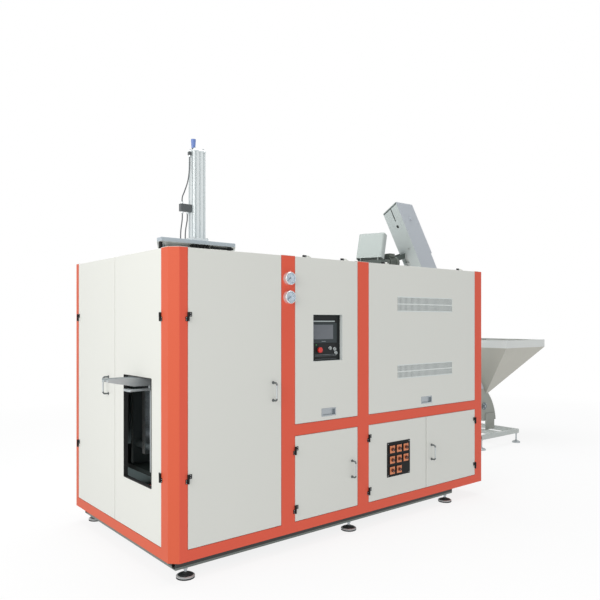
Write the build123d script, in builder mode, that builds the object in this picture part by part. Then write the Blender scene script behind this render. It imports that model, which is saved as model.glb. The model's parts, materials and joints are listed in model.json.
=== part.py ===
from build123d import *
from math import cos, pi, radians, sin, tan
import os

# A stretch blow moulding machine for bottles: a steel cabinet on levelling feet, a clamp with a
# four-cavity mould behind the doors of its left bay, a lamp oven with a spindle chain behind the
# wide flap of its right bay, and a hopper with a leaning cleated elevator that feeds preforms
# over the cabinet's top.
# Millimetres. +X runs along the long front to the right, +Y goes in from the front, +Z is up.
# The origin is on the floor, in the middle of the machine's outline.

# Cabinet sizes
cab_len = 3081.0
cab_dep = 1567.0
cab_top = 2000.0
rail_low = 120.0
rail_tall = 69.0
frame_dep = 60.0
tube_wall = 3.0
corner_front = 105.0
corner_end = 134.5
corner_bevel = 50.0
right_post = 98.0
rear_end_post = 47.0
bay1_wide = 707.6
bay2_wide = 599.1
post2_wide = 114.1
post3_wide = 113.2
mid_low = 775.0
mid_tall = 76.0
seam_gap = 3.0
sheet = 2.0
pan_dep = 25.0
edge_radius = 2.0
top_rail_tall = 50.0

# Feeder sizes
lean = 32.5
hopper_reach = 2872.0
hopper_out = 333.0
hopper_len = 892.0
hopper_wide = 900.0
hopper_rim = 1315.0
hopper_band = 95.0
hopper_mouth = 640.0
elevator_top = 2867.0
elevator_foot = 290.0
elevator_dep = 230.0
elevator_wide = 245.0

# What stands out furthest on the left end and on the front
rail_reach = 213.0
handle_out = 46.0

# Where the cabinet's left front corner lies about the middle of the whole outline
x_left = (rail_reach - hopper_reach - cab_len) / 2
y_front = (handle_out - hopper_out - cab_dep) / 2
x_right = x_left + cab_len
y_rear = y_front + cab_dep
z_open = rail_low + rail_tall
mid_top = mid_low + mid_tall

# Post and bay edges along the front
x_bay1 = x_left + corner_front
x_post2 = x_bay1 + bay1_wide
x_bay2 = x_post2 + post2_wide
x_post3 = x_bay2 + bay2_wide
x_bay3 = x_post3 + post3_wide
x_bay3_end = x_right - right_post
y_end_doors = y_front + corner_end
y_end_stop = y_rear - rear_end_post
y_inside = y_front + frame_dep
y_back_inside = y_rear - frame_dep


def plate(low, high):
    """A flat plate or bar between two opposite corners."""
    with BuildPart() as solid:
        with BuildSketch(Plane.XY.offset(low[2])):
            with Locations(((low[0] + high[0]) / 2, (low[1] + high[1]) / 2)):
                Rectangle(high[0] - low[0], high[1] - low[1])
        extrude(amount=high[2] - low[2])
    return solid.part


def section_plane(along, start):
    """The plane across an axis, and the local order of the other two axes."""
    if along == "x":
        return Plane.YZ.offset(start)
    if along == "y":
        return Plane(origin=(0, start, 0), x_dir=(1, 0, 0), z_dir=(0, -1, 0))
    return Plane.XY.offset(start)


def bar(along, start, end, points):
    """A bar of any straight-sided section; points are (y, z), (x, z) or (x, y)."""
    with BuildPart() as solid:
        with BuildSketch(section_plane(along, start)):
            with BuildLine():
                Polyline(*points, close=True)
            make_face()
        extrude(amount=start - end if along == "y" else end - start)
    return solid.part


def tube(along, start, end, low, high, wall=tube_wall):
    """A rectangular tube; low and high are the section's corners across the axis."""
    middle = ((low[0] + high[0]) / 2, (low[1] + high[1]) / 2)
    with BuildPart() as solid:
        with BuildSketch(section_plane(along, start)):
            with Locations(middle):
                Rectangle(high[0] - low[0], high[1] - low[1])
                Rectangle(high[0] - low[0] - 2 * wall, high[1] - low[1] - 2 * wall,
                          mode=Mode.SUBTRACT)
        extrude(amount=start - end if along == "y" else end - start)
    return solid.part


def rod(along, start, end, centre, radius, bore=0.0):
    """A round bar or sleeve along an axis; centre is its place across that axis."""
    with BuildPart() as solid:
        with BuildSketch(section_plane(along, start)):
            with Locations(centre):
                Circle(radius)
                if bore > 0:
                    Circle(bore, mode=Mode.SUBTRACT)
        extrude(amount=start - end if along == "y" else end - start)
    return solid.part


def group(label, solids):
    """Separate pieces of one kind that share a node."""
    return Compound(label=label, children=list(solids))


os.makedirs("parts", exist_ok=True)


def save(shape, name):
    shape.label = name
    export_step(shape, "parts/" + name + ".step")


# Base frame: a ring of channels set back under the rails
base_setback = 50.0
base_tall = 56.0
channel_wide = 45.0
channel_wall = 5.0
base_short = 411.0
x_base = x_left + base_setback
x_base_end = x_base + cab_len - base_short
y_base = y_front + base_setback
y_base_end = y_rear - base_setback
z_base = rail_low - base_tall


def channel(along, start, end, face, inward):
    """A channel whose web is at face and whose flanges point inward."""
    tip = face + inward * channel_wide
    web = face + inward * channel_wall
    low = z_base + channel_wall
    high = rail_low - channel_wall
    outline = [(face, z_base), (tip, z_base), (tip, low), (web, low),
               (web, high), (tip, high), (tip, rail_low), (face, rail_low)]
    return bar(along, start, end, outline)


base_members = [channel("x", x_base, x_base_end, y_base, 1),
                channel("x", x_base, x_base_end, y_base_end, -1)]
inner_y = (y_base + channel_wide, y_base_end - channel_wide)
for face, inward in ((x_base, 1), (x_base_end, -1), (x_post2, 1), (x_post3, 1)):
    base_members.append(channel("y", inner_y[0], inner_y[1], face, inward))
base_frame = group("base_frame", base_members)
save(base_frame, "base_frame")

# Levelling feet: a rubber-bottomed cone, a threaded stem and a lock nut
foot_radius = 57.0
foot_pad = 14.0
foot_neck = 16.0
stem_radius = 9.0
nut_radius = 15.0
nut_tall = 14.0
foot_in = 82.0


def levelling_foot(x, y, top, radius):
    """A foot turned about its stem, from the floor to the underside that it carries."""
    with BuildPart() as foot:
        with BuildSketch(Plane.XZ.offset(-y)):
            with BuildLine():
                Polyline((x, 0), (x + radius, 0), (x + radius, foot_pad), (x + radius * 0.8, foot_pad + 7),
                         (x + foot_neck, foot_pad + 14), (x + foot_neck, foot_pad + 20),
                         (x + stem_radius, foot_pad + 20), (x + stem_radius, top), (x, top), close=True)
            make_face()
        revolve(axis=Axis((x, y, 0), (0, 0, 1)))
        with BuildSketch(Plane.XY.offset(top - nut_tall)):
            with Locations((x, y)):
                RegularPolygon(nut_radius, 6)
        extrude(amount=nut_tall)
    return foot.part


# Posts: folded sheet tubes under the roof sheets; the two front corners carry the bevel
roof_z = cab_top - sheet
rear_corner = 105.0


def corner_outline(side, sign, front):
    """A front corner post's six-sided outline with the outer corner bevelled."""
    return [(side + sign * corner_bevel, y_front), (side + sign * front, y_front),
            (side + sign * front, y_inside), (side + sign * frame_dep, y_front + corner_end),
            (side, y_front + corner_end), (side, y_front + corner_bevel)]


corner_outlines = (corner_outline(x_left, 1, corner_front), corner_outline(x_right, -1, right_post))
square_posts = [((x_left, y_end_stop), (x_left + rear_corner, y_rear)),
                ((x_right - rear_corner, y_end_stop), (x_right, y_rear))]
for start, end in ((x_post2, x_bay2), (x_post3, x_bay3)):
    square_posts.append(((start, y_front), (end, y_inside)))
    square_posts.append(((start, y_back_inside), (end, y_rear)))
posts = [tube("z", rail_low, roof_z, low, high) for low, high in square_posts]
for outline in corner_outlines:
    with BuildPart() as post:
        with BuildSketch(Plane.XY.offset(rail_low)):
            with BuildLine():
                Polyline(*outline, close=True)
            make_face()
            offset(amount=-tube_wall, mode=Mode.SUBTRACT, kind=Kind.INTERSECTION)
        extrude(amount=roof_z - rail_low)
    posts.append(post.part)

# Rails between the posts: bottom all round, middle in bays two and three, top behind the doors
bays = ((x_bay1, x_post2), (x_bay2, x_post3), (x_bay3, x_bay3_end))
rear_bays = ((x_left + rear_corner, x_post2), (x_bay2, x_post3), (x_bay3, x_right - rear_corner))
top_rail_z = (roof_z - top_rail_tall, roof_z)
door_back = pan_dep + 3.0
rails = []
for start, end in bays:
    rails.append(tube("x", start, end, (y_front, rail_low), (y_inside, z_open)))
    rails.append(tube("x", start, end, (y_front + door_back, top_rail_z[0]), (y_inside, top_rail_z[1])))
for start, end in rear_bays:
    rails.append(tube("x", start, end, (y_back_inside, rail_low), (y_rear, z_open)))
    rails.append(tube("x", start, end, (y_back_inside, top_rail_z[0]), (y_rear - door_back, top_rail_z[1])))
for start, end in bays[1:]:
    rails.append(tube("x", start, end, (y_front, mid_low), (y_inside, mid_top)))
for start, end in rear_bays[1:]:
    rails.append(tube("x", start, end, (y_back_inside, mid_low), (y_rear, mid_top)))
for outer, inner in ((x_left, x_left + frame_dep), (x_right - frame_dep, x_right)):
    rails.append(tube("y", y_end_doors, y_end_stop, (outer, rail_low), (inner, z_open)))
for outer, inner in ((x_left + door_back, x_left + frame_dep), (x_right - frame_dep, x_right - door_back)):
    rails.append(tube("y", y_end_doors, y_end_stop, (outer, top_rail_z[0]), (inner, top_rail_z[1])))
cabinet_frame = group("cabinet_frame", posts + rails)
save(cabinet_frame, "cabinet_frame")

# Clamp, mould and stretch stations share one centre line
clamp_x = x_left + 439.0
line_y = y_front + 470.0
rail_line_z = 1186.0
cavity_pitch = 120.0
cavity_count = 4
mould_len = cavity_pitch * cavity_count

# Roof: three sheets that also close the posts, set back behind the doors; the first has a cut-out
roof_hole = (560.0, 150.0)
roof_splits = (x_left, (x_post2 + x_bay2) / 2, (x_post3 + x_bay3) / 2, x_right)
feed_hole = (230.0, 130.0)
feed_hole_at = (x_right - 221.0, y_rear - 177.0)


def roof_sheet(start, end, hole_centre, hole_size):
    """The roof's whole outline kept between two stations, with one cut-out."""
    with BuildPart() as part:
        with BuildSketch(Plane.XY.offset(roof_z)):
            with Locations(((x_left + x_right) / 2, (y_front + y_rear) / 2)):
                Rectangle(cab_len - 2 * door_back, cab_dep - 2 * door_back)
            for low, high in square_posts:
                with Locations(((low[0] + high[0]) / 2, (low[1] + high[1]) / 2)):
                    Rectangle(high[0] - low[0], high[1] - low[1])
            for outline in corner_outlines:
                with BuildLine():
                    Polyline(*outline, close=True)
                make_face()
            with Locations(((start + end) / 2, (y_front + y_rear) / 2)):
                Rectangle(end - start, cab_dep, mode=Mode.INTERSECT)
            if hole_centre:
                with Locations(hole_centre):
                    Rectangle(*hole_size, mode=Mode.SUBTRACT)
        extrude(amount=sheet)
    return part.part


roof_panels = group("roof_panels", [
    roof_sheet(roof_splits[0], roof_splits[1] - seam_gap / 2, (clamp_x, line_y), roof_hole),
    roof_sheet(roof_splits[1] + seam_gap / 2, roof_splits[2] - seam_gap / 2, None, None),
    roof_sheet(roof_splits[2] + seam_gap / 2, roof_splits[3], feed_hole_at, feed_hole)])
save(roof_panels, "roof_panels")


def face_plane(side, across, height):
    """The outward plane of a cabinet face at a point; local x is to the right seen from outside."""
    if side == "front":
        return Plane(origin=(across, y_front, height), x_dir=(1, 0, 0), z_dir=(0, -1, 0))
    if side == "rear":
        return Plane(origin=(across, y_rear, height), x_dir=(-1, 0, 0), z_dir=(0, 1, 0))
    if side == "left":
        return Plane(origin=(x_left, across, height), x_dir=(0, -1, 0), z_dir=(-1, 0, 0))
    return Plane(origin=(x_right, across, height), x_dir=(0, 1, 0), z_dir=(1, 0, 0))


def pan(side, across, heights, cuts=(), lined=False, under=seam_gap):
    """A folded door pan between two stations, with a seam gap all round and its own gap under it.

    cuts holds (centre across, centre height, width, height) of each cut-out in local terms;
    a lined cut-out gets a return edge as deep as the pan.
    """
    middle = ((across[0] + across[1]) / 2, (heights[0] + heights[1]) / 2)
    wide = abs(across[1] - across[0]) - 2 * seam_gap
    tall = heights[1] - heights[0] - seam_gap - under
    plane = face_plane(side, middle[0], middle[1] + (under - seam_gap) / 2)
    with BuildPart() as door:
        with BuildSketch(plane):
            Rectangle(wide, tall)
        extrude(amount=-pan_dep)
        fillet(door.faces().sort_by(Axis(plane.origin, plane.z_dir))[-1].edges(), radius=edge_radius)
        with BuildSketch(plane.offset(-sheet)):
            Rectangle(wide - 2 * sheet, tall - 2 * sheet)
            if lined:
                for x, y, w, h in cuts:
                    with Locations((x, y)):
                        Rectangle(w + 2 * sheet, h + 2 * sheet, mode=Mode.SUBTRACT)
        extrude(amount=-pan_dep, mode=Mode.SUBTRACT)
        if cuts:
            with BuildSketch(plane):
                for x, y, w, h in cuts:
                    with Locations((x, y)):
                        Rectangle(w, h)
            extrude(amount=-pan_dep, mode=Mode.SUBTRACT)
    return door.part


# Fixed panels at the rear and the right end stand on their rails
right_split = (y_end_doors + y_end_stop) / 2
seat_gap = 0.3
fixed_panels = group("fixed_panels", [
    pan("rear", rear_bays[0], (z_open, cab_top), under=seat_gap),
    pan("rear", rear_bays[1], (z_open, mid_low), under=seat_gap),
    pan("rear", rear_bays[1], (mid_top, cab_top), under=seat_gap),
    pan("rear", rear_bays[2], (z_open, mid_low), under=seat_gap),
    pan("rear", rear_bays[2], (mid_top, cab_top), under=seat_gap),
    pan("right", (y_end_doors, right_split), (z_open, cab_top), under=seat_gap),
    pan("right", (right_split, y_end_stop), (z_open, cab_top), under=seat_gap)])
save(fixed_panels, "fixed_panels")

# Hinged doors on the front and the left end
end_seam = y_front + 827.0
window_mid = y_front + 469.0
window_wide = 408.0
window_low = 518.0
window_high = 1199.0
front_leaf = (y_end_doors, end_seam)
front_leaf_mid = (y_end_doors + end_seam) / 2
leaf_mid_z = (z_open + cab_top) / 2
window_cut = (front_leaf_mid - window_mid, (window_low + window_high) / 2 - leaf_mid_z,
              window_wide, window_high - window_low)
blow_door = pan("front", (x_bay1, x_post2), (z_open, cab_top))
end_door_front = pan("left", front_leaf, (z_open, cab_top), (window_cut,), lined=True)
end_door_rear = pan("left", (end_seam, y_end_stop), (z_open, cab_top))
pneumatic_door = pan("front", (x_bay2, x_post3), (z_open, mid_low))
leaf_seam = (x_bay3 + x_bay3_end) / 2
electrical_door_right = pan("front", (leaf_seam, x_bay3_end), (z_open, mid_low))

# Regulator field in the left electrical door: a cut-out that the black plate fills
plate_mid_x = (x_bay3 + leaf_seam) / 2 - 1.5
plate_mid_z = 479.5
plate_wide = 267.0
plate_tall = 269.0
left_leaf_mid = (x_bay3 + leaf_seam) / 2
lower_mid_z = (z_open + mid_low) / 2
plate_lap = 12.0
regulator_cut = (plate_mid_x - left_leaf_mid, plate_mid_z - lower_mid_z,
                 plate_wide - 2 * plate_lap, plate_tall - 2 * plate_lap)
electrical_door_left = pan("front", (x_bay3, leaf_seam), (z_open, mid_low), (regulator_cut,), lined=True)

# Top-hung flaps: the control flap with the console cut-out, the oven flap with its grilles
control_mid_x = (x_bay2 + x_post3) / 2
console_mid_x = control_mid_x + 2.8
console_mid_z = 1438.0
console_wide = 276.0
console_tall = 326.0
pull_wide = 124.0
pull_tall = 45.0
pull_wall = 2.0
pull_dep = 18.0
upper_mid_z = (mid_top + cab_top) / 2
oven_mid_x = (x_bay3 + x_bay3_end) / 2
pull_z = mid_top + 59.0
control_pull = (control_mid_x + 9.8, pull_z)
oven_pull = (oven_mid_x + 5.0, pull_z)
console_cut = (console_mid_x - control_mid_x, console_mid_z - upper_mid_z, console_wide, console_tall)
control_pull_cut = (control_pull[0] - control_mid_x, control_pull[1] - upper_mid_z, pull_wide, pull_tall)
control_flap = pan("front", (x_bay2, x_post3), (mid_top, cab_top), (console_cut, control_pull_cut), lined=True)

grille_mid_x = oven_mid_x
grille_side = 324.0
grille_wide = x_bay3_end - x_bay3 - 2 * grille_side
grille_rows = ((1691.0, 120.0), (1157.0, 112.0))
grille_cuts = [(grille_mid_x - oven_mid_x, z - upper_mid_z, grille_wide, tall) for z, tall in grille_rows]
oven_pull_cut = (oven_pull[0] - oven_mid_x, oven_pull[1] - upper_mid_z, pull_wide, pull_tall)
oven_flap = pan("front", (x_bay3, x_bay3_end), (mid_top, cab_top), (*grille_cuts, oven_pull_cut))

# Perforated vent plates behind the flap's skin
vent_lap = 12.0
vent_sheet = 1.5
slot_wide = 6.0
slot_pitch = 14.5
slot_bridge = 8.0


def vent_plate(height, tall):
    """A plate with two rows of upright slots, lapping the cut-out all round."""
    plane = face_plane("front", grille_mid_x, height).offset(-sheet)
    count = int((grille_wide - slot_wide) // slot_pitch) + 1
    slot_tall = (tall - 3 * slot_bridge) / 2
    with BuildPart() as vent:
        with BuildSketch(plane):
            Rectangle(grille_wide + 2 * vent_lap, tall + 2 * vent_lap)
            with GridLocations(slot_pitch, slot_tall + slot_bridge, count, 2):
                Rectangle(slot_wide, slot_tall, mode=Mode.SUBTRACT)
        extrude(amount=-vent_sheet)
    return vent.part


oven_vents = group("oven_vents", [vent_plate(z, tall) for z, tall in grille_rows])
save(oven_vents, "oven_vents")


def flush_cup(x, z):
    """A pressed finger cup in a flap: a rim on the skin and a tray behind the cut-out."""
    plane = face_plane("front", x, z)
    with BuildPart() as cup:
        with BuildSketch(plane):
            RectangleRounded(pull_wide + 12, pull_tall + 12, 5)
        extrude(amount=1.5)
        with BuildSketch(plane):
            Rectangle(pull_wide, pull_tall)
        extrude(amount=-pull_dep)
        with BuildSketch(plane.offset(1.5)):
            Rectangle(pull_wide - 2 * pull_wall, pull_tall - 2 * pull_wall)
        extrude(amount=-pull_dep + pull_wall - 1.5, mode=Mode.SUBTRACT)
    return cup.part


# Bow handles: a bent chrome rod on two feet
handle_span = 117.0
grip_z = 1090.5
handle_radius = 6.0
handle_bend = 14.0
handle_flange = 10.0


def bow_handle(side, across, height):
    """A rod bent into a bow, standing upright on a door."""
    plane = face_plane(side, across, height)
    out = handle_out - handle_radius
    route = Plane(origin=plane.origin, x_dir=plane.y_dir, z_dir=plane.x_dir)
    sign = 1 if route.to_local_coords(Vector(*(plane.origin + plane.z_dir))).Y > 0 else -1
    with BuildPart() as handle:
        with BuildLine(route):
            FilletPolyline((-handle_span / 2, 0), (-handle_span / 2, sign * out),
                           (handle_span / 2, sign * out), (handle_span / 2, 0), radius=handle_bend)
        with BuildSketch(Plane(origin=plane.from_local_coords((0, -handle_span / 2, 0)), z_dir=plane.z_dir)):
            Circle(handle_radius)
        sweep()
        for end in (-1, 1):
            with BuildSketch(plane):
                with Locations((0, end * handle_span / 2)):
                    Circle(handle_flange)
            extrude(amount=3)
    return handle.part


blow_door_handle = bow_handle("front", x_post2 - 70.6, grip_z)
save(blow_door_handle, "blow_door_handle")
end_door_handle = bow_handle("left", end_seam + 107.0, grip_z + 17.0)
save(end_door_handle, "end_door_handle")
pneumatic_door_handle = bow_handle("front", x_post3 - 59.8, lower_mid_z - 11.5)
save(pneumatic_door_handle, "pneumatic_door_handle")
electrical_door_handle = bow_handle("front", leaf_seam + 67.0, lower_mid_z - 8.5)
save(electrical_door_handle, "electrical_door_handle")

# Hinges: a fixed half with the pin, and a turning half on the door
knuckle_radius = 7.0
pin_out = 7.5
pin_radius = 3.0
pin_clear = 0.05
knuckle_tall = 27.0
knuckle_gap = 0.3
leaf_thick = 2.5
leaf_start = 2.0
fixed_leaf = 14.0
door_leaf = 25.0
flap_leaf = 21.0


def hinge_half(plane, turn, fixed, reach, drop=0.0):
    """One half of a hinge on a surface.

    plane lies on the surface at the pin's foot, its normal points out and its y runs along the pin;
    turn is +1 when this half's leaf lies on the local right; drop lowers the leaf's seat.
    """
    low = -knuckle_tall - knuckle_gap / 2 if fixed else knuckle_gap / 2
    barrel = Plane(origin=plane.from_local_coords((0, low, pin_out)), x_dir=plane.x_dir, z_dir=plane.y_dir)
    with BuildPart() as half:
        with BuildSketch(barrel):
            Circle(knuckle_radius)
        extrude(amount=knuckle_tall)
        with BuildSketch(plane.offset(-drop)):
            with Locations((turn * (reach / 2 + leaf_start), low + knuckle_tall / 2)):
                Rectangle(reach, knuckle_tall)
        extrude(amount=leaf_thick + drop)
        if fixed:
            with BuildSketch(barrel.offset(knuckle_tall)):
                Circle(pin_radius)
            extrude(amount=knuckle_tall + knuckle_gap)
        else:
            with BuildSketch(barrel):
                Circle(pin_radius + pin_clear)
            extrude(amount=knuckle_tall, mode=Mode.SUBTRACT)
    return half.part


def hinge_seam(side, seam, turn):
    """Where a door's hinge line lies: the middle of the gap beside the post at seam."""
    sign = turn if side == "front" else -turn
    return seam + sign * seam_gap / 2


door_hinge_z = (1583.0, 612.0)
low_hinge_z = (674.0, 275.0)
hinged = {"blow_door": ("front", x_bay1, 1, door_hinge_z),
          "end_door_front": ("left", y_end_doors, -1, door_hinge_z),
          "end_door_rear": ("left", y_end_stop, 1, door_hinge_z),
          "pneumatic_door": ("front", x_bay2, 1, low_hinge_z),
          "electrical_door_left": ("front", x_bay3, 1, low_hinge_z),
          "electrical_door_right": ("front", x_bay3_end, -1, low_hinge_z)}
pans = {"blow_door": blow_door, "end_door_front": end_door_front, "end_door_rear": end_door_rear,
        "pneumatic_door": pneumatic_door, "electrical_door_left": electrical_door_left,
        "electrical_door_right": electrical_door_right}
fixed_halves = []
for name, (side, seam, turn, heights) in hinged.items():
    across = hinge_seam(side, seam, turn)
    for height in heights:
        foot = face_plane(side, across, height)
        fixed_halves.append(hinge_half(foot, -turn, True, fixed_leaf))
    with BuildPart() as door:
        add(pans[name])
        for height in heights:
            add(hinge_half(face_plane(side, across, height), turn, False, door_leaf))
    save(door.part, name)

# The flaps hang from hinges on the roof's front edge
flap_pin_y = y_front + pan_dep + 1.5
flap_hinges = {"control_flap": (control_flap, [x_bay2 + 120.0, x_post3 - 120.0]),
               "oven_flap": (oven_flap, [x_bay3 + 200.0, x_bay3_end - 200.0])}
cups = {"control_flap": flush_cup(*control_pull), "oven_flap": flush_cup(*oven_pull)}
for name, (flap, stations) in flap_hinges.items():
    with BuildPart() as door:
        add(flap)
        add(cups[name])
        for x in stations:
            seat = Plane(origin=(x, flap_pin_y, cab_top), x_dir=(0, -1, 0), z_dir=(0, 0, 1))
            add(hinge_half(seat, 1, False, flap_leaf, seam_gap))
    for x in stations:
        seat = Plane(origin=(x, flap_pin_y, cab_top), x_dir=(0, -1, 0), z_dir=(0, 0, 1))
        fixed_halves.append(hinge_half(seat, -1, True, fixed_leaf))
    save(door.part, name)
fixed_hinges = group("fixed_hinges", fixed_halves)
save(fixed_hinges, "fixed_hinges")

# Pressure gauges on the second post, with needles that turn on spindles
gauge_x = (x_post2 + x_bay2) / 2
gauge_zs = (1843.0, 1717.0)
gauge_radius = 43.0
gauge_dep = 32.0
gauge_rim = 4.0
dial_dep = 14.0
spindle_radius = 1.5
spindle_clear = 0.05
needle_len = 27.0
needle_tail = 9.0
needle_thick = 2.0


def gauge_case(height):
    """A round cup with a rim, a dial floor and a spindle."""
    plane = face_plane("front", gauge_x, height)
    with BuildPart() as case:
        with BuildSketch(plane):
            Circle(gauge_radius)
        extrude(amount=gauge_dep)
        chamfer(case.faces().sort_by(Axis.Y)[0].edges(), length=2.5)
        with BuildSketch(plane.offset(dial_dep)):
            Circle(gauge_radius - gauge_rim)
        extrude(amount=gauge_dep, mode=Mode.SUBTRACT)
        with BuildSketch(plane.offset(dial_dep)):
            Circle(spindle_radius)
        extrude(amount=10)
    return case.part


def gauge_needle(height):
    """A pointer plate with a bored hub, pointing to the scale's zero at lower left."""
    zero = radians(225)
    centre = (gauge_x, y_front - dial_dep - 5, height)
    with BuildPart() as needle:
        with BuildSketch(Plane(origin=centre, x_dir=(cos(zero), 0, sin(zero)), z_dir=(0, -1, 0))):
            with BuildLine():
                Polyline((-needle_tail, -2.2), (needle_len, -0.8), (needle_len, 0.8), (-needle_tail, 2.2), close=True)
            make_face()
            Circle(4.5)
            Circle(spindle_radius + spindle_clear, mode=Mode.SUBTRACT)
        extrude(amount=needle_thick)
    return needle.part


gauge_cases = group("gauge_cases", [gauge_case(z) for z in gauge_zs])
save(gauge_cases, "gauge_cases")
for number, height in enumerate(gauge_zs, start=1):
    save(gauge_needle(height), "gauge_needle_%d" % number)

# Control console behind the flap's cut-out, with a screen field, mushroom stop and three buttons
console_back = 30.0
console_dep = 120.0
console_lap = 11.0
console_front = y_front + console_back
pedestal_wide = 70.0
wall_sheet = 3.0
deck_top = mid_top + wall_sheet
screen_wide = 214.0
screen_tall = 150.0
screen_up = 62.0
screen_rim = 14.0
button_clear = 0.05
stop_at = (x_left + 1170.0, 1352.0)
stop_head = 20.0
stop_stem = 8.0
button_head = 11.0
button_stem = 6.0
button_places = {"start_button": (x_left + 1275.0, 1362.0), "reset_button": (x_left + 1318.0, 1355.0),
                 "light_button": (x_left + 1330.0, 1327.0)}
stem_len = 22.0


def console_plane(x, z, out=0.0):
    """The console's front, or a plane out of it."""
    return Plane(origin=(x, console_front - out, z), x_dir=(1, 0, 0), z_dir=(0, -1, 0))


with BuildPart() as control_console:
    with BuildSketch(console_plane(console_mid_x, console_mid_z)):
        Rectangle(console_wide + 2 * console_lap, console_tall + 2 * console_lap)
    extrude(amount=-console_dep)
    with BuildSketch(Plane.XY.offset(deck_top)):
        with Locations((console_mid_x, console_front + console_dep / 2)):
            Rectangle(pedestal_wide, pedestal_wide)
    extrude(amount=console_mid_z - console_tall / 2 - deck_top)
    with BuildSketch(console_plane(console_mid_x - 12, console_mid_z + screen_up)):
        RectangleRounded(screen_wide + 2 * screen_rim, screen_tall + 2 * screen_rim, 6)
    extrude(amount=4)
    with BuildSketch(console_plane(console_mid_x - 12, console_mid_z + screen_up, 4)):
        Rectangle(screen_wide, screen_tall)
    extrude(amount=-2.5, mode=Mode.SUBTRACT)
    with BuildSketch(console_plane(0, 0)):
        with Locations(stop_at):
            Circle(stop_stem + button_clear)
        with Locations(*button_places.values()):
            Circle(button_stem + button_clear)
    extrude(amount=-stem_len, mode=Mode.SUBTRACT)
save(control_console.part, "control_console")


def push_button(place, head, stem, head_tall, lift):
    """A round button: a crowned head standing off the console by lift, and its stem."""
    with BuildPart() as button:
        with BuildSketch(console_plane(*place, out=lift)):
            Circle(head)
        extrude(amount=head_tall)
        fillet(button.faces().sort_by(Axis.Y)[0].edges(), radius=head_tall * 0.3)
        with BuildSketch(console_plane(*place, out=lift)):
            Circle(stem)
        extrude(amount=-lift - stem_len / 2)
    return button.part


stop_lift = 7.0
button_lift = 4.5
save(push_button(stop_at, stop_head, stop_stem, 13.0, stop_lift), "emergency_stop")
for name, place in button_places.items():
    save(push_button(place, button_head, button_stem, 5.0, button_lift), name)

# Regulator panel: a black plate with eight square lamp regulators, each with a knob on a spindle
regulator_out = 2.0
regulator_size = 60.0
regulator_dep = 6.0
regulator_core = 36.0
knob_radius = 13.0
knob_tall = 15.0
knob_spindle = 3.0
knob_clear = 0.05
knob_pitch = (79.0, 82.0)
knob_mid = (plate_mid_x + 0.5, plate_mid_z - 3.5)
regulator_back = 45.0
regulator_places = [(column, row) for row in (1, 0, -1) for column in (-1, 0, 1)][:8]


def regulator_plane(column, row, out):
    """A plane out of the door at one place of the regulator grid."""
    x = knob_mid[0] + column * knob_pitch[0]
    z = knob_mid[1] + row * knob_pitch[1]
    return face_plane("front", x, z).offset(out)


with BuildPart() as regulator_plate:
    with BuildSketch(face_plane("front", plate_mid_x, plate_mid_z)):
        RectangleRounded(plate_wide, plate_tall, 3)
    extrude(amount=regulator_out)
panel_solids = [regulator_plate.part]
for column, row in regulator_places:
    with BuildPart() as regulator:
        with BuildSketch(regulator_plane(column, row, regulator_out)):
            RectangleRounded(regulator_size, regulator_size, 4)
        extrude(amount=regulator_dep)
        with BuildSketch(regulator_plane(column, row, regulator_out + regulator_dep)):
            Circle(knob_spindle)
        extrude(amount=knob_tall - 4)
    panel_solids.append(regulator.part)
for column, row in regulator_places:
    with BuildPart() as block:
        with BuildSketch(regulator_plane(column, row, 0)):
            Rectangle(regulator_core, regulator_core)
        extrude(amount=-regulator_back)
    panel_solids.append(block.part)
regulator_panel = group("regulator_panel", panel_solids)
save(regulator_panel, "regulator_panel")
for number, (column, row) in enumerate(regulator_places, start=1):
    plane = regulator_plane(column, row, regulator_out + regulator_dep + 0.3)
    with BuildPart() as knob:
        with BuildSketch(plane):
            Circle(knob_radius)
            Circle(knob_spindle + knob_clear, mode=Mode.SUBTRACT)
        extrude(amount=knob_tall - 3)
        with BuildSketch(plane.offset(knob_tall - 3)):
            Circle(knob_radius - 1.5)
        extrude(amount=3)
        with BuildSketch(plane.offset(knob_tall)):
            Rectangle(2.0, 2 * knob_radius, mode=Mode.ADD)
        extrude(amount=-1.0, mode=Mode.SUBTRACT)
    save(knob.part, "regulator_knob_%d" % number)

# Machine bed: a thick table for the clamp, on four square legs from the base frame
bed_top = 560.0
bed_thick = 30.0
bed_leg = 80.0
bed_in = 65.0
partition_x = (x_post2 + x_bay2) / 2
bed_low = (x_bay1 + 5.0, y_front + bed_in)
bed_high = (partition_x, y_rear - bed_in)
bed_solids = [plate((*bed_low, bed_top - bed_thick), (*bed_high, bed_top))]
for x in (bed_low[0], bed_high[0] - bed_leg):
    for y in (bed_low[1], bed_high[1] - bed_leg):
        bed_solids.append(tube("z", rail_low, bed_top - bed_thick, (x, y), (x + bed_leg, y + bed_leg)))
machine_bed = group("machine_bed", bed_solids)
save(machine_bed, "machine_bed")

# Clamp: two end plates joined by four tie bars, with a short fat cylinder on each plate
end_plate_off = 345.0
end_plate_thick = 30.0
end_plate_wide = 620.0
end_plate_top = 1160.0
tie_radius = 25.0
tie_off_x = 270.0
tie_zs = (700.0, 1090.0)
tie_clear = 0.05
clamp_z = 1000.0
barrel_radius = 75.0
barrel_bore = 40.0
barrel_len = 120.0
nut_across = 38.0
platen_thick = 45.0
platen_low = 655.0
platen_top = 1135.0
mould_low = 830.0
mould_top = 1170.0
mould_thick = 85.0
mould_open = 70.0
piston_len = 35.0
rod_radius = 30.0
lift_sleeve = 25.0
lift_rod = 14.0
lift_clear = 0.05
lift_off_x = 200.0
base_lift = 45.0

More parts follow.
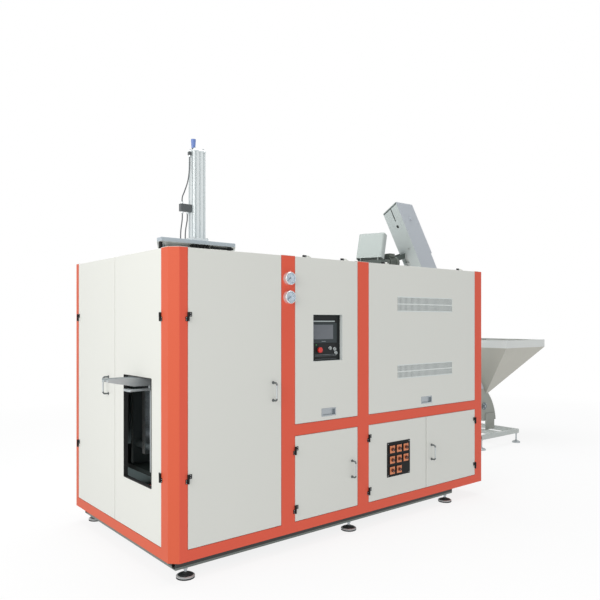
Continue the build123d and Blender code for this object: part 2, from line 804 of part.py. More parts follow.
clamp_solids = []
for side in (-1, 1):
    inner = line_y + side * end_plate_off
    outer = inner + side * end_plate_thick
    near, far = sorted((inner, outer))
    clamp_solids.append(plate((clamp_x - end_plate_wide / 2, near, bed_top),
                              (clamp_x + end_plate_wide / 2, far, end_plate_top)))
    tip = inner - side * barrel_len
    near, far = sorted((inner, tip))
    clamp_solids.append(rod("y", near, far, (clamp_x, clamp_z), barrel_radius, barrel_bore))
    near, far = sorted((outer, outer + side * 20.0))
    for x in (clamp_x - tie_off_x, clamp_x + tie_off_x):
        for z in tie_zs:
            with BuildPart() as nut:
                with BuildSketch(section_plane("y", near)):
                    with Locations((x, z)):
                        RegularPolygon(nut_across, 6)
                extrude(amount=near - far)
            clamp_solids.append(nut.part)
for x in (clamp_x - tie_off_x, clamp_x + tie_off_x):
    for z in tie_zs:
        clamp_solids.append(rod("y", line_y - end_plate_off, line_y + end_plate_off, (x, z), tie_radius))
sleeve_top = 680.0
for x in (clamp_x - lift_off_x, clamp_x + lift_off_x):
    clamp_solids.append(rod("z", bed_top, sleeve_top, (x, line_y), lift_sleeve, lift_rod + lift_clear))
clamp_frame = group("clamp_frame", clamp_solids)
save(clamp_frame, "clamp_frame")

# Mould halves: each is a platen on the tie bars, a block with four half bottles, and a piston
cavity_radius = 50.0
neck_radius = 14.0


def bottle_section(x, y):
    """Half of a bottle's outline, from its base to its neck, beside its own axis."""
    with BuildPart() as bottle:
        with BuildSketch(Plane.XZ.offset(-y)):
            with BuildLine():
                base = Line((x, mould_low - 1), (x + cavity_radius, mould_low - 1))
                side = Line(base @ 1, (x + cavity_radius, mould_low + 215))
                shoulder = Bezier(side @ 1, (x + cavity_radius, mould_low + 270),
                                  (x + neck_radius, mould_low + 265), (x + neck_radius, mould_low + 312))
                neck = Line(shoulder @ 1, (x + neck_radius, mould_top + 1))
                top = Line(neck @ 1, (x, mould_top + 1))
                Line(top @ 1, base @ 0)
            make_face()
        revolve(axis=Axis((x, y, 0), (0, 0, 1)))
    return bottle.part


def mould_half(side):
    """The moving half on one side of the centre line, in its open place."""
    face = line_y + side * mould_open
    back = face + side * mould_thick
    platen_back = back + side * platen_thick
    near, far = sorted((face, back))
    with BuildPart() as block:
        add(plate((clamp_x - mould_len / 2, near, mould_low), (clamp_x + mould_len / 2, far, mould_top)))
        for index in range(cavity_count):
            x = clamp_x + (index - (cavity_count - 1) / 2) * cavity_pitch
            add(bottle_section(x, face), mode=Mode.SUBTRACT)
    near, far = sorted((back, platen_back))
    with BuildPart() as platen:
        with BuildSketch(section_plane("y", near)):
            with Locations((clamp_x, (platen_low + platen_top) / 2)):
                Rectangle(end_plate_wide, platen_top - platen_low)
            for x in (clamp_x - tie_off_x, clamp_x + tie_off_x):
                for z in tie_zs:
                    with Locations((x, z)):
                        Circle(tie_radius + tie_clear, mode=Mode.SUBTRACT)
        extrude(amount=near - far)
    piston_at = line_y + side * (end_plate_off - 10.0)
    near, far = sorted((platen_back, piston_at - side * piston_len))
    with BuildPart() as piston:
        add(rod("y", near, far, (clamp_x, clamp_z), rod_radius))
        near, far = sorted((piston_at, piston_at - side * piston_len))
        add(rod("y", near, far, (clamp_x, clamp_z), barrel_bore - tie_clear))
    return [block.part, platen.part, piston.part]


save(group("front_mould_half", mould_half(-1)), "front_mould_half")
save(group("rear_mould_half", mould_half(1)), "rear_mould_half")

# Base mould: four base plugs on a bar that lifts as the clamp shuts
plug_radius = 47.0
plug_top = mould_low + 5.0 - base_lift
base_bar = (740.0, 760.0)
with BuildPart() as base_mould:
    with BuildSketch(Plane.XY.offset(base_bar[0])):
        with Locations((clamp_x, line_y)):
            Rectangle(mould_len, 110.0)
    extrude(amount=base_bar[1] - base_bar[0])
    with BuildSketch(Plane.XY.offset(base_bar[1])):
        with Locations((clamp_x, line_y)):
            with GridLocations(cavity_pitch, 1, cavity_count, 1):
                Circle(plug_radius)
    extrude(amount=plug_top - base_bar[1])
    with BuildSketch(Plane.XY.offset(sleeve_top - 80.0)):
        with Locations((clamp_x - lift_off_x, line_y), (clamp_x + lift_off_x, line_y)):
            Circle(lift_rod)
    extrude(amount=base_bar[0] - sleeve_top + 80.0)
save(base_mould.part, "base_mould")

# Stretch unit: a top plate on the roof, two guide shafts, and the bridge that they carry
top_plate = (2050.0, 2085.0)
top_plate_x = (x_left + 65.0, x_left + 620.0)
top_plate_wide = 420.0
plate_tip = 60.0
standoff_radius = 14.0
guide_radius = 15.0
guide_off = 262.0
bridge = (1450.0, 1480.0)
bridge_wide = 120.0
stretch_rod = 6.0
stretch_clear = 0.05
piston_rod = 12.0
mast_bore = 20.0
nozzle_rod = 12.0
nozzle_off = 210.0
guide_clear = 0.05
cross_z = (1900.0, 1930.0)
cavity_xs = [clamp_x + (index - (cavity_count - 1) / 2) * cavity_pitch for index in range(cavity_count)]
plate_ys = (line_y - top_plate_wide / 2, line_y + top_plate_wide / 2)
with BuildPart() as top:
    with BuildSketch(Plane.XY.offset(top_plate[0])):
        with BuildLine():
            Polyline((top_plate_x[0] + plate_tip, plate_ys[0]), (top_plate_x[1], plate_ys[0]),
                     (top_plate_x[1] + 110.0, plate_ys[0] + 110.0), (top_plate_x[1] + 110.0, plate_ys[1]),
                     (top_plate_x[0], plate_ys[1]), (top_plate_x[0], plate_ys[0] + plate_tip), close=True)
        make_face()
        with Locations((clamp_x, line_y)):
            Circle(piston_rod + 1, mode=Mode.SUBTRACT)
    extrude(amount=top_plate[1] - top_plate[0])
    chamfer(top.faces().sort_by(Axis.Z)[-1].edges(), length=3)
stretch_solids = [top.part]
for x in (top_plate_x[0] + 90.0, top_plate_x[1] + 60.0):
    for y in (plate_ys[0] + 70.0, plate_ys[1] - 40.0):
        stretch_solids.append(rod("z", cab_top, top_plate[0], (x, y), standoff_radius))
for x in (clamp_x - guide_off, clamp_x + guide_off):
    stretch_solids.append(rod("z", bridge[1], top_plate[0], (x, line_y), guide_radius))
with BuildPart() as bridge_bar:
    with BuildSketch(Plane.XY.offset(bridge[0])):
        with Locations((clamp_x, line_y)):
            Rectangle(2 * guide_off + 60.0, bridge_wide)
        with Locations(*[(x, line_y) for x in cavity_xs]):
            Circle(stretch_rod + stretch_clear, mode=Mode.SUBTRACT)
        with Locations((clamp_x - nozzle_off, line_y + 35.0), (clamp_x + nozzle_off, line_y + 35.0)):
            Circle(nozzle_rod + guide_clear, mode=Mode.SUBTRACT)
    extrude(amount=bridge[1] - bridge[0])
stretch_solids.append(bridge_bar.part)
valve_z = cab_top + 6.0
for index in range(5):
    x = x_left + 300.0 + index * 26.0
    stretch_solids.append(plate((x, plate_ys[0] + 14.0, valve_z + 14.0), (x + 20.0, plate_ys[0] + 60.0, top_plate[0])))
stretch_solids.append(plate((x_left + 445.0, plate_ys[0] + 14.0, top_plate[0] - 16.0),
                            (top_plate_x[1] + 6.0, plate_ys[0] + 40.0, top_plate[0])))
stretch_plate = group("stretch_plate", stretch_solids)
save(stretch_plate, "stretch_plate")

# Stretch carriage: a crossbar with four stretch rods, hung on the cylinder's piston rod
rod_tip = 1225.0
piston_z = (2480.0, 2510.0)
with BuildPart() as stretch_carriage:
    with BuildSketch(Plane.XY.offset(cross_z[0])):
        with Locations((clamp_x, line_y)):
            Rectangle(2 * guide_off + 60.0, 80.0)
        with Locations((clamp_x - guide_off, line_y), (clamp_x + guide_off, line_y)):
            Circle(guide_radius + guide_clear, mode=Mode.SUBTRACT)
    extrude(amount=cross_z[1] - cross_z[0])
    with BuildSketch(Plane.XY.offset(rod_tip)):
        with Locations(*[(x, line_y) for x in cavity_xs]):
            Circle(stretch_rod)
    extrude(amount=cross_z[0] - rod_tip)
    with BuildSketch(Plane.XY.offset(cross_z[1])):
        with Locations((clamp_x, line_y)):
            Circle(piston_rod)
    extrude(amount=piston_z[0] - cross_z[1])
    with BuildSketch(Plane.XY.offset(piston_z[0])):
        with Locations((clamp_x, line_y)):
            Circle(mast_bore - guide_clear)
    extrude(amount=piston_z[1] - piston_z[0])
save(stretch_carriage.part, "stretch_carriage")

# Nozzle bar: four blow nozzles that drop onto the necks
nozzle_bar_z = (1260.0, 1300.0)
nozzle_low = 1216.0
nozzle_radius = 20.0
nozzle_bore = 8.0
with BuildPart() as nozzle_bar:
    with BuildSketch(Plane.XY.offset(nozzle_bar_z[0])):
        with Locations((clamp_x, line_y)):
            Rectangle(mould_len, bridge_wide - 20.0)
    extrude(amount=nozzle_bar_z[1] - nozzle_bar_z[0])
    with BuildSketch(Plane.XY.offset(nozzle_low)):
        with Locations(*[(x, line_y) for x in cavity_xs]):
            Circle(nozzle_radius)
    extrude(amount=nozzle_bar_z[0] - nozzle_low)
    with BuildSketch(Plane.XY.offset(nozzle_low)):
        with Locations(*[(x, line_y) for x in cavity_xs]):
            Circle(nozzle_bore)
    extrude(amount=nozzle_bar_z[1] - nozzle_low, mode=Mode.SUBTRACT)
    with BuildSketch(Plane.XY.offset(nozzle_bar_z[1])):
        with Locations((clamp_x - nozzle_off, line_y + 35.0), (clamp_x + nozzle_off, line_y + 35.0)):
            Circle(nozzle_rod)
    extrude(amount=bridge[1] + 20.0 - nozzle_bar_z[1])
save(nozzle_bar.part, "nozzle_bar")

# Stretch mast: a fluted cylinder profile on a foot flange
mast_wide = 94.0
mast_deep = 80.0
mast_foot = (2085.0, 2120.0)
mast_top = 2731.0
flute = 7.0
with BuildPart() as mast:
    with BuildSketch(Plane.XY.offset(mast_foot[0])):
        with Locations((clamp_x, line_y)):
            Rectangle(mast_wide + 26.0, mast_deep + 26.0)
    extrude(amount=mast_foot[1] - mast_foot[0])
    with BuildSketch(Plane.XY.offset(mast_foot[1])):
        with Locations((clamp_x, line_y)):
            RectangleRounded(mast_wide, mast_deep, 6)
            with GridLocations(mast_wide / 3, mast_deep, 3, 2):
                Rectangle(flute, 2 * flute, mode=Mode.SUBTRACT)
            with GridLocations(mast_wide, mast_deep / 2, 2, 2):
                Rectangle(2 * flute, flute, mode=Mode.SUBTRACT)
    extrude(amount=mast_top - 18.0 - mast_foot[1])
    with BuildSketch(Plane.XY.offset(mast_top - 18.0)):
        with Locations((clamp_x, line_y)):
            RectangleRounded(mast_wide + 4.0, mast_deep + 4.0, 8)
    extrude(amount=18.0)
    chamfer(mast.faces().sort_by(Axis.Z)[-1].edges(), length=7)
    with BuildSketch(Plane.XY.offset(mast_foot[0])):
        with Locations((clamp_x, line_y)):
            Circle(mast_bore)
    extrude(amount=mast_top - mast_foot[0] - 60.0, mode=Mode.SUBTRACT)
save(mast.part, "stretch_mast")

# Air fittings on the mast: a silencer, a plug block and the air hoses clipped to them
hose_radius = 4.0
mast_left = clamp_x - mast_wide / 2
block_len = 83.0
block_z = (2300.0, 2350.0)
elbow_z = (2690.0, 2712.0)
silencer_x = clamp_x - 28.0
silencer_tall = 71.0


def hose(points):
    """A tube along straight runs joined by tangent arcs, in the mast's own X-Z plane."""
    vectors = [Vector(*p) for p in points]
    radii = []
    for before, here, after in zip(vectors, vectors[1:], vectors[2:]):
        run = min((here - before).length, (after - here).length)
        turn = radians((here - before).get_angle(after - here))
        radii.append(0.45 * run / tan(turn / 2))
    print("hose arcs, mm:", [round(r) for r in radii])
    start = vectors[0]
    with BuildPart() as part:
        with BuildLine():
            FilletPolyline(*vectors, radius=radii)
        with BuildSketch(Plane(origin=start, z_dir=vectors[1] - start)):
            Circle(hose_radius)
        sweep()
    return part.part


def mast_point(out, z):
    """A point on the mast's middle plane, out to the left of its face."""
    return (mast_left - out, line_y, z)


with BuildPart() as silencer:
    with BuildSketch(Plane.XY.offset(mast_top)):
        with Locations((silencer_x, line_y)):
            Circle(9)
    extrude(amount=10)
    with BuildSketch(Plane.XY.offset(mast_top + 10)):
        with Locations((silencer_x, line_y)):
            Circle(13)
    with BuildSketch(Plane.XY.offset(mast_top + silencer_tall)):
        with Locations((silencer_x, line_y)):
            Circle(17)
    loft()
fitting_solids = [
    silencer.part,
    plate((mast_left - block_len, line_y - 16, block_z[0]), (mast_left, line_y + 16, block_z[1])),
    plate((mast_left - 20, line_y - 10, elbow_z[0]), (mast_left, line_y + 10, elbow_z[1])),
    hose([mast_point(10, elbow_z[0]), mast_point(10, 2600), mast_point(22, 2510),
          mast_point(52, 2430), mast_point(68, 2395), mast_point(68, block_z[1])]),
    hose([mast_point(66, block_z[0]), mast_point(66, 2245), mast_point(79, 2165), mast_point(79, top_plate[1])]),
    hose([mast_point(28, block_z[0]), mast_point(28, 2245), mast_point(44, 2165), mast_point(44, top_plate[1])])]
mast_fittings = group("mast_fittings", fitting_solids)
save(mast_fittings, "mast_fittings")

# Transfer rails: the twin neck rails through the clamp and out of the end door's window
neck_gap = 17.0
ledge_wide = 28.0
ledge_thick = 8.0
rail_web = 5.0
web_low = 1141.0
web_high = 1196.0
web_tip = 20.0
rail_tip_x = x_left - rail_reach
web_end_x = x_left + 140.0
rail_end_x = x_left + 850.0
rail_foot = 10.0
rail_solids = []
for side in (-1, 1):
    near, far = sorted((line_y + side * neck_gap, line_y + side * (neck_gap + ledge_wide)))
    ledge = plate((rail_tip_x, near, rail_line_z - ledge_thick), (rail_end_x, far, rail_line_z))
    rail_solids.append(ledge)
    web_near, web_far = sorted((line_y + side * (neck_gap + ledge_wide),
                                line_y + side * (neck_gap + ledge_wide + rail_web)))
    rail_solids.append(bar("y", web_near, web_far, [
        (rail_tip_x, web_high - web_tip), (rail_tip_x, web_high), (web_end_x, web_high),
        (web_end_x, web_low), (x_left - 40.0, web_low)]))
    post_y = line_y + side * (neck_gap + ledge_wide - 14.0)
    for x in (x_left + 115.0, x_left + 770.0):
        rail_solids.append(rod("z", bed_top, rail_line_z - ledge_thick, (x, post_y), rail_foot))
catch_z = 1118.0
catch_y = line_y - neck_gap - ledge_wide - 16.0
rail_solids.append(rod("x", x_left - 75.0, web_end_x, (catch_y, catch_z), 8.0))
rail_solids.append(plate((x_left - 75.0, catch_y + 8.0, catch_z - 10), (x_left - 35.0, line_y + 40.0, catch_z + 4)))
rail_solids.append(plate((x_left + 60.0, catch_y + 8.0, catch_z - 5),
                         (web_end_x - 4.0, line_y - neck_gap - ledge_wide + 5.0, web_low)))
transfer_rails = group("transfer_rails", rail_solids)
save(transfer_rails, "transfer_rails")

# Inner walls: the partition beside the clamp, and the oven's two deck plates on the middle rails
transfer_hole = (220.0, 170.0)
deck_front = y_front + 30.0
deck_rear = y_rear - 30.0
chain_z = (1150.0, 1170.0)
wheel_radius = 300.0
wheel_shaft = 25.0
wheel_clear = 0.05
bearing_radius = 48.0
bearing_top = 990.0
wheel_xs = (x_post3 - 195.8, x_right - 481.0)
chain_mid_y = line_y + wheel_radius
strip_wide = 40.0
track_radius = 12.0
with BuildPart() as partition:
    with BuildSketch(Plane.YZ.offset(partition_x)):
        with Locations(((y_inside + y_back_inside) / 2, (rail_low + top_rail_z[0]) / 2)):
            Rectangle(y_back_inside - y_inside, top_rail_z[0] - rail_low)
        with Locations((line_y, rail_line_z + 20.0)):
            Rectangle(*transfer_hole, mode=Mode.SUBTRACT)
    extrude(amount=wall_sheet)
wall_solids = [partition.part]
for (start, end), (rear_start, rear_end) in zip(bays[1:], rear_bays[1:]):
    wall_solids.append(plate((max(start, rear_start), deck_front, mid_top), (min(end, rear_end), deck_rear, deck_top)))
for x in wheel_xs:
    wall_solids.append(rod("z", deck_top, bearing_top, (x, chain_mid_y), bearing_radius, wheel_shaft + wheel_clear))
for x in (wheel_xs[0] + 420.0, wheel_xs[1] - 350.0):
    for y in (line_y, line_y + 2 * wheel_radius):
        wall_solids.append(rod("z", deck_top, chain_z[0], (x, y), track_radius))
inner_walls = group("inner_walls", wall_solids)
save(inner_walls, "inner_walls")

# Preform chain: a closed strip round two wheels with an upright spindle at each pitch
spindle_count = 44
mandrel_radius = 11.0
mandrel_tall = 58.0
collar_radius = 17.0
collar_tall = 14.0
straight_run = wheel_xs[1] - wheel_xs[0]
loop_len = 2 * straight_run + 2 * pi * wheel_radius


def chain_place(distance):
    """A point at a distance along the chain's oval, from its front left."""
    half_turn = pi * wheel_radius
    if distance < straight_run:
        return (wheel_xs[0] + distance, line_y)
    distance -= straight_run
    if distance < half_turn:
        angle = -pi / 2 + distance / wheel_radius
        return (wheel_xs[1] + wheel_radius * cos(angle), chain_mid_y + wheel_radius * sin(angle))
    distance -= half_turn
    if distance < straight_run:
        return (wheel_xs[1] - distance, chain_mid_y + wheel_radius)
    angle = pi / 2 + (distance - straight_run) / wheel_radius
    return (wheel_xs[0] + wheel_radius * cos(angle), chain_mid_y + wheel_radius * sin(angle))


spindle_places = [chain_place((index + 0.5) * loop_len / spindle_count) for index in range(spindle_count)]
with BuildPart() as preform_chain:
    with BuildSketch(Plane.XY.offset(chain_z[0])):
        with Locations(((wheel_xs[0] + wheel_xs[1]) / 2, chain_mid_y)):
            SlotCenterToCenter(straight_run, 2 * wheel_radius + strip_wide)
            SlotCenterToCenter(straight_run, 2 * wheel_radius - strip_wide, mode=Mode.SUBTRACT)
    extrude(amount=chain_z[1] - chain_z[0])
    with BuildSketch(Plane.XY.offset(chain_z[1])):
        with Locations(*spindle_places):
            RegularPolygon(collar_radius, 8)
    extrude(amount=collar_tall)
    with BuildSketch(Plane.XY.offset(chain_z[1] + collar_tall)):
        with Locations(*spindle_places):
            RegularPolygon(mandrel_radius, 8)
    extrude(amount=mandrel_tall)
save(preform_chain.part, "preform_chain")

# Chain wheels: lightened discs on shafts that stand in the deck bearings
wheel_gap = 0.5
lightening = 62.0
for name, x in zip(("chain_wheel_left", "chain_wheel_right"), wheel_xs):
    with BuildPart() as wheel:
        with BuildSketch(Plane.XY.offset(chain_z[0] + 2)):
            with Locations((x, chain_mid_y)):
                Circle(wheel_radius - strip_wide / 2 - wheel_gap)
                with PolarLocations(wheel_radius * 0.58, 6):
                    Circle(lightening, mode=Mode.SUBTRACT)
        extrude(amount=chain_z[1] - chain_z[0] - 4)
        with BuildSketch(Plane.XY.offset(bearing_top + 1)):
            with Locations((x, chain_mid_y)):
                Circle(wheel_shaft + 20)
        extrude(amount=chain_z[1] + 20 - bearing_top)
        with BuildSketch(Plane.XY.offset(deck_top + 5)):
            with Locations((x, chain_mid_y)):
                Circle(wheel_shaft)
        extrude(amount=bearing_top - deck_top)
    save(wheel.part, name)

# Lamp bank: end stands, a slotted lamp box behind the chain, the lamps, and the front reflector
lamp_xs = (wheel_xs[0] + 290.0, wheel_xs[1] - 290.0)
lamp_count = 8
lamp_pitch = 46.0
lamp_first = 1265.0
lamp_radius = 6.0
lamp_y = line_y + 78.0
box_ys = (line_y + 96.0, line_y + 190.0)
reflector_y = line_y - 90.0
stand_thick = 8.0
stand_top = 1650.0
lamp_solids = []
for x in (lamp_xs[0] - stand_thick, lamp_xs[1]):
    lamp_solids.append(plate((x, line_y + 60.0, deck_top), (x + stand_thick, box_ys[1], stand_top)))
lamp_solids.append(plate((lamp_xs[0], box_ys[0], lamp_first - 40.0), (lamp_xs[1], box_ys[1], stand_top)))
for index in range(lamp_count):
    lamp_solids.append(rod("x", lamp_xs[0], lamp_xs[1], (lamp_y, lamp_first + index * lamp_pitch), lamp_radius))
lamp_solids.append(plate((lamp_xs[0], reflector_y - wall_sheet, deck_top), (lamp_xs[1], reflector_y, stand_top)))
fan_x = x_left + 2000.0
fan_z = 1157.0
fan_radius = 105.0
fan_front = y_front + 200.0
lamp_solids.append(rod("y", fan_front, fan_front + 110.0, (fan_x, fan_z), fan_radius, fan_radius - 60.0))
lamp_solids.append(plate((fan_x - 60.0, fan_front + 20.0, deck_top), (fan_x + 60.0, fan_front + 90.0, fan_z - fan_radius)))
lamp_bank = group("lamp_bank", lamp_solids)
save(lamp_bank, "lamp_bank")

# Service panels behind the lower doors: a switchgear plate, and a valve plate
switch_y = y_front + 330.0
switch_x = (x_bay3 + 90.0, x_bay3_end - 60.0)
switch_z = (rail_low + 2.0, mid_top - seat_gap)
module_wide = 54.0
module_pitch = 72.0
module_dep = 78.0
row_pitch = 175.0
with BuildPart() as switch_panel:
    add(plate((switch_x[0], switch_y, switch_z[0]), (switch_x[1], switch_y + wall_sheet, switch_z[1])))
    with BuildSketch(Plane(origin=((switch_x[0] + switch_x[1]) / 2, switch_y, (switch_z[0] + switch_z[1]) / 2),
                           x_dir=(1, 0, 0), z_dir=(0, -1, 0))):
        with GridLocations(module_pitch, row_pitch, 15, 3):
            Rectangle(module_wide, row_pitch * 0.55)
    extrude(amount=module_dep)
    with BuildSketch(Plane(origin=((switch_x[0] + switch_x[1]) / 2, switch_y, (switch_z[0] + switch_z[1]) / 2),
                           x_dir=(1, 0, 0), z_dir=(0, -1, 0))):
        with GridLocations(1, row_pitch, 1, 3):
            Rectangle(15.6 * module_pitch, 35)
    extrude(amount=12)
valve_x = (x_bay2 + 60.0, x_post3 - 60.0)
with BuildPart() as valve_panel:
    add(plate((valve_x[0], switch_y, switch_z[0]), (valve_x[1], switch_y + wall_sheet, switch_z[1])))
    with BuildSketch(Plane(origin=((valve_x[0] + valve_x[1]) / 2, switch_y, 470.0), x_dir=(1, 0, 0), z_dir=(0, -1, 0))):
        with GridLocations(34, 1, 10, 1):
            Rectangle(26, 130)
        with Locations((0, -85)):
            Rectangle(380, 40)
    extrude(amount=60)
    with BuildSketch(Plane.XY.offset(205.0)):
        with GridLocations(110, 1, 2, 1):
            with Locations(((valve_x[0] + valve_x[1]) / 2, switch_y - 45.0)):
                Circle(32)
    extrude(amount=110.0)
    with BuildSketch(Plane.XY.offset(315.0)):
        with Locations(((valve_x[0] + valve_x[1]) / 2, switch_y - 40.0)):
            Rectangle(200, 80)
    extrude(amount=35.0)
service_panels = group("service_panels", [switch_panel.part, valve_panel.part])
save(service_panels, "service_panels")

# Feeder stand: a low frame of square tube, with a post under the leaning elevator
stand_x = (x_right + 1619.0, x_right + 2423.0)
stand_y = (y_rear - 467.0, y_rear + 233.0)
stand_z = (125.0, 175.0)
stand_tube = 50.0
feeder_y = (y_rear - 237.0, y_rear - 237.0 + elevator_wide)
boot_x = x_right + 1983.0
slope = tan(radians(lean))
run_x = elevator_dep / cos(radians(lean))


def lower_edge(z):
    """Where the elevator's underside lies at a height."""
    return boot_x - (z - elevator_foot) * slope


def upper_edge(z):
    """Where the elevator's upper side lies at a height."""
    return lower_edge(z) + run_x


strut_x = (stand_x[0], stand_x[0] + stand_tube)
bracket_x = (boot_x + 40.0, boot_x + 230.0)
bracket_thick = 8.0
stand_solids = []
for y in (stand_y[0], stand_y[1] - stand_tube):
    stand_solids.append(tube("x", stand_x[0], stand_x[1], (y, stand_z[0]), (y + stand_tube, stand_z[1])))
cross_ys = (stand_y[0] + stand_tube, stand_y[1] - stand_tube)
for x in (stand_x[0], bracket_x[0], stand_x[1] - stand_tube):
    stand_solids.append(tube("y", cross_ys[0], cross_ys[1], (x, stand_z[0]), (x + stand_tube, stand_z[1])))
for y in (feeder_y[0], feeder_y[1] - stand_tube):
    with BuildPart() as strut:
        with BuildSketch(section_plane("y", y)):
            with BuildLine():
                Polyline((strut_x[0], stand_z[1]), (strut_x[1], stand_z[1]),
                         (strut_x[1], elevator_foot + (boot_x - strut_x[1]) / slope),
                         (strut_x[0], elevator_foot + (boot_x - strut_x[0]) / slope), close=True)
            make_face()
        extrude(amount=-stand_tube)
    stand_solids.append(strut.part)
for face in (feeder_y[0] - bracket_thick, feeder_y[1]):
    stand_solids.append(plate((bracket_x[0], face, stand_z[1]), (bracket_x[1], face + bracket_thick, elevator_foot + 90.0)))
feeder_stand = group("feeder_stand", stand_solids)
save(feeder_stand, "feeder_stand")

stand_foot_radius = 50.0
foot_xs = (x_base + 80.0, x_post3 - 25.8, x_base_end - 72.0)
foot_ys = (y_base + 22.0, y_base_end - 22.0)
feet = [levelling_foot(x, y, z_base, foot_radius) for x in foot_xs for y in foot_ys]
for x in (stand_x[0] + 25.0, stand_x[1] - 25.0):
    for y in (stand_y[0] + 25.0, stand_y[1] - 25.0):
        feet.append(levelling_foot(x, y, stand_z[0], stand_foot_radius))
levelling_feet = group("levelling_feet", feet)
save(levelling_feet, "levelling_feet")

# Elevator: two side plates and four covers round a cleated belt on two drums
side_sheet = 3.0
boot_arc = ((upper_edge(elevator_foot), elevator_foot), (boot_x + 232.0, 450.0), (boot_x + 104.0, hopper_mouth))
drum_radius = 60.0
drum_shaft = 15.0
shaft_out = 20.0
drum_clear = 0.05
belt_thick = 4.0
belt_gap = 0.4
cleat_tall = 34.0
cleat_thick = 6.0
cleat_count = 26
lean_dir = Vector(-sin(radians(lean)), 0, cos(radians(lean)))
across_dir = Vector(cos(radians(lean)), 0, sin(radians(lean)))
drum_mid = elevator_dep / 2


def elevator_point(along, across):
    """An (x, z) place: along the lean from the boot's lower left corner, and across the casing."""
    return (boot_x + along * lean_dir.X + across * across_dir.X,
            elevator_foot + along * lean_dir.Z + across * across_dir.Z)


foot_drum_at = elevator_point(150.0, drum_mid)
head_drum_at = elevator_point(2790.0, drum_mid)
hood_z = elevator_top - 519.0
hood_out = 18.0
head_fall = 94.0
rear_top = elevator_top - head_fall
lid_gap = 16.0


def hood_edge(z):
    """Where the hood's upper side lies: a little proud at its lower end, flush at the head."""
    return upper_edge(z) + hood_out * (elevator_top - z) / (elevator_top - hood_z)


def side_plate(face, top):
    """One side of the casing up to a height, with bearing bores for both drum shafts."""
    with BuildPart() as side:
        with BuildSketch(section_plane("y", face)):
            with BuildLine():
                Polyline(boot_arc[2], (upper_edge(hopper_mouth), hopper_mouth), (upper_edge(hood_z), hood_z),
                         (hood_edge(hood_z), hood_z), (hood_edge(top), top), (lower_edge(top), top),
                         (lower_edge(elevator_foot), elevator_foot), boot_arc[0])
                ThreePointArc(*boot_arc)
            make_face()
            with Locations(foot_drum_at, head_drum_at):
                Circle(drum_shaft + drum_clear, mode=Mode.SUBTRACT)
        extrude(amount=-side_sheet)
    return side.part


def cover(edge, low, high, inner):
    """A flat cover along one slanted edge between two heights, inside the side plates."""
    shift = inner * side_sheet / cos(radians(lean))
    return bar("y", feeder_y[0] + side_sheet, feeder_y[1] - side_sheet,
               [(edge(low), low), (edge(low) + shift, low), (edge(high) + shift, high), (edge(high), high)])


# The underside carries a slot that runs out at the head, a round hole and a small drain hole
under_normal = Vector(-across_dir.X, 0, -across_dir.Z)
outlet_z = (2090.0, 2330.0)
outlet_y = feeder_y[0] + 150.0
slot_len = 210.0
slot_wide_head = 14.0
slot_mid_z = 2764.0
head_hole_z = 2621.0
head_hole = 18.0
drain_hole_z = 2382.0
drain_hole = 8.0
head_mid_y = (feeder_y[0] + feeder_y[1]) / 2 - 12.0
drain_in = feeder_y[0] + 79.0 - head_mid_y


def underside_plane(z):
    """A plane on the underside's outer face at a height, its y running up the lean."""
    return Plane(origin=(lower_edge(z), head_mid_y, z), x_dir=(0, -1, 0), z_dir=under_normal)


def part_cover(y_low, y_high, low, high):
    """A strip of the underside between two heights and two depths."""
    shift = side_sheet / cos(radians(lean))
    return bar("y", y_low, y_high, [(lower_edge(low), low), (lower_edge(low) + shift, low),
                                    (lower_edge(high) + shift, high), (lower_edge(high), high)])


head_low = rear_top - side_sheet - 1.0


def above_head(drop):
    """Everything above the head's slanted top, which is lowered by drop; the top falls toward the rear."""
    high = elevator_top + head_fall
    return bar("x", lower_edge(high), upper_edge(rear_top - head_fall) + hood_out,
               [(feeder_y[0], elevator_top - drop), (feeder_y[1], rear_top - drop),
                (feeder_y[1], high), (feeder_y[0], high)])


with BuildPart() as head_cover:
    add(part_cover(feeder_y[0] + side_sheet, feeder_y[1] - side_sheet, outlet_z[1], elevator_top))
    with BuildSketch(underside_plane(slot_mid_z)):
        Rectangle(slot_wide_head, slot_len)
    extrude(amount=-2 * side_sheet, mode=Mode.SUBTRACT)
    with BuildSketch(underside_plane(head_hole_z)):
        Circle(head_hole)
    extrude(amount=-2 * side_sheet, mode=Mode.SUBTRACT)
    with BuildSketch(underside_plane(drain_hole_z)):
        with Locations((-drain_in, 0)):
            Circle(drain_hole)
    extrude(amount=-2 * side_sheet, mode=Mode.SUBTRACT)
    add(above_head(side_sheet + lid_gap), mode=Mode.SUBTRACT)
with BuildPart() as hood_cover:
    add(cover(hood_edge, hood_z, elevator_top, -1))
    add(above_head(side_sheet), mode=Mode.SUBTRACT)
with BuildPart() as head_lid:
    add(bar("y", feeder_y[0] + side_sheet, feeder_y[1] - side_sheet,
            [(lower_edge(head_low), head_low), (hood_edge(head_low), head_low),
             (hood_edge(elevator_top), elevator_top), (lower_edge(elevator_top), elevator_top)]))
    add(above_head(side_sheet), mode=Mode.INTERSECT)
    add(above_head(0), mode=Mode.SUBTRACT)
with BuildPart() as boot_cover:
    with BuildSketch(section_plane("y", feeder_y[0] + side_sheet)):
        with BuildLine():
            ThreePointArc(*boot_arc)
            Line(boot_arc[2], (boot_arc[2][0] - side_sheet, boot_arc[2][1]))
            ThreePointArc(*[(x - side_sheet, z) for x, z in reversed(boot_arc)])
            Line((boot_arc[0][0] - side_sheet, boot_arc[0][1]), boot_arc[0])
        make_face()
    extrude(amount=feeder_y[0] - feeder_y[1] + 2 * side_sheet)
upper_shift = side_sheet / cos(radians(lean))
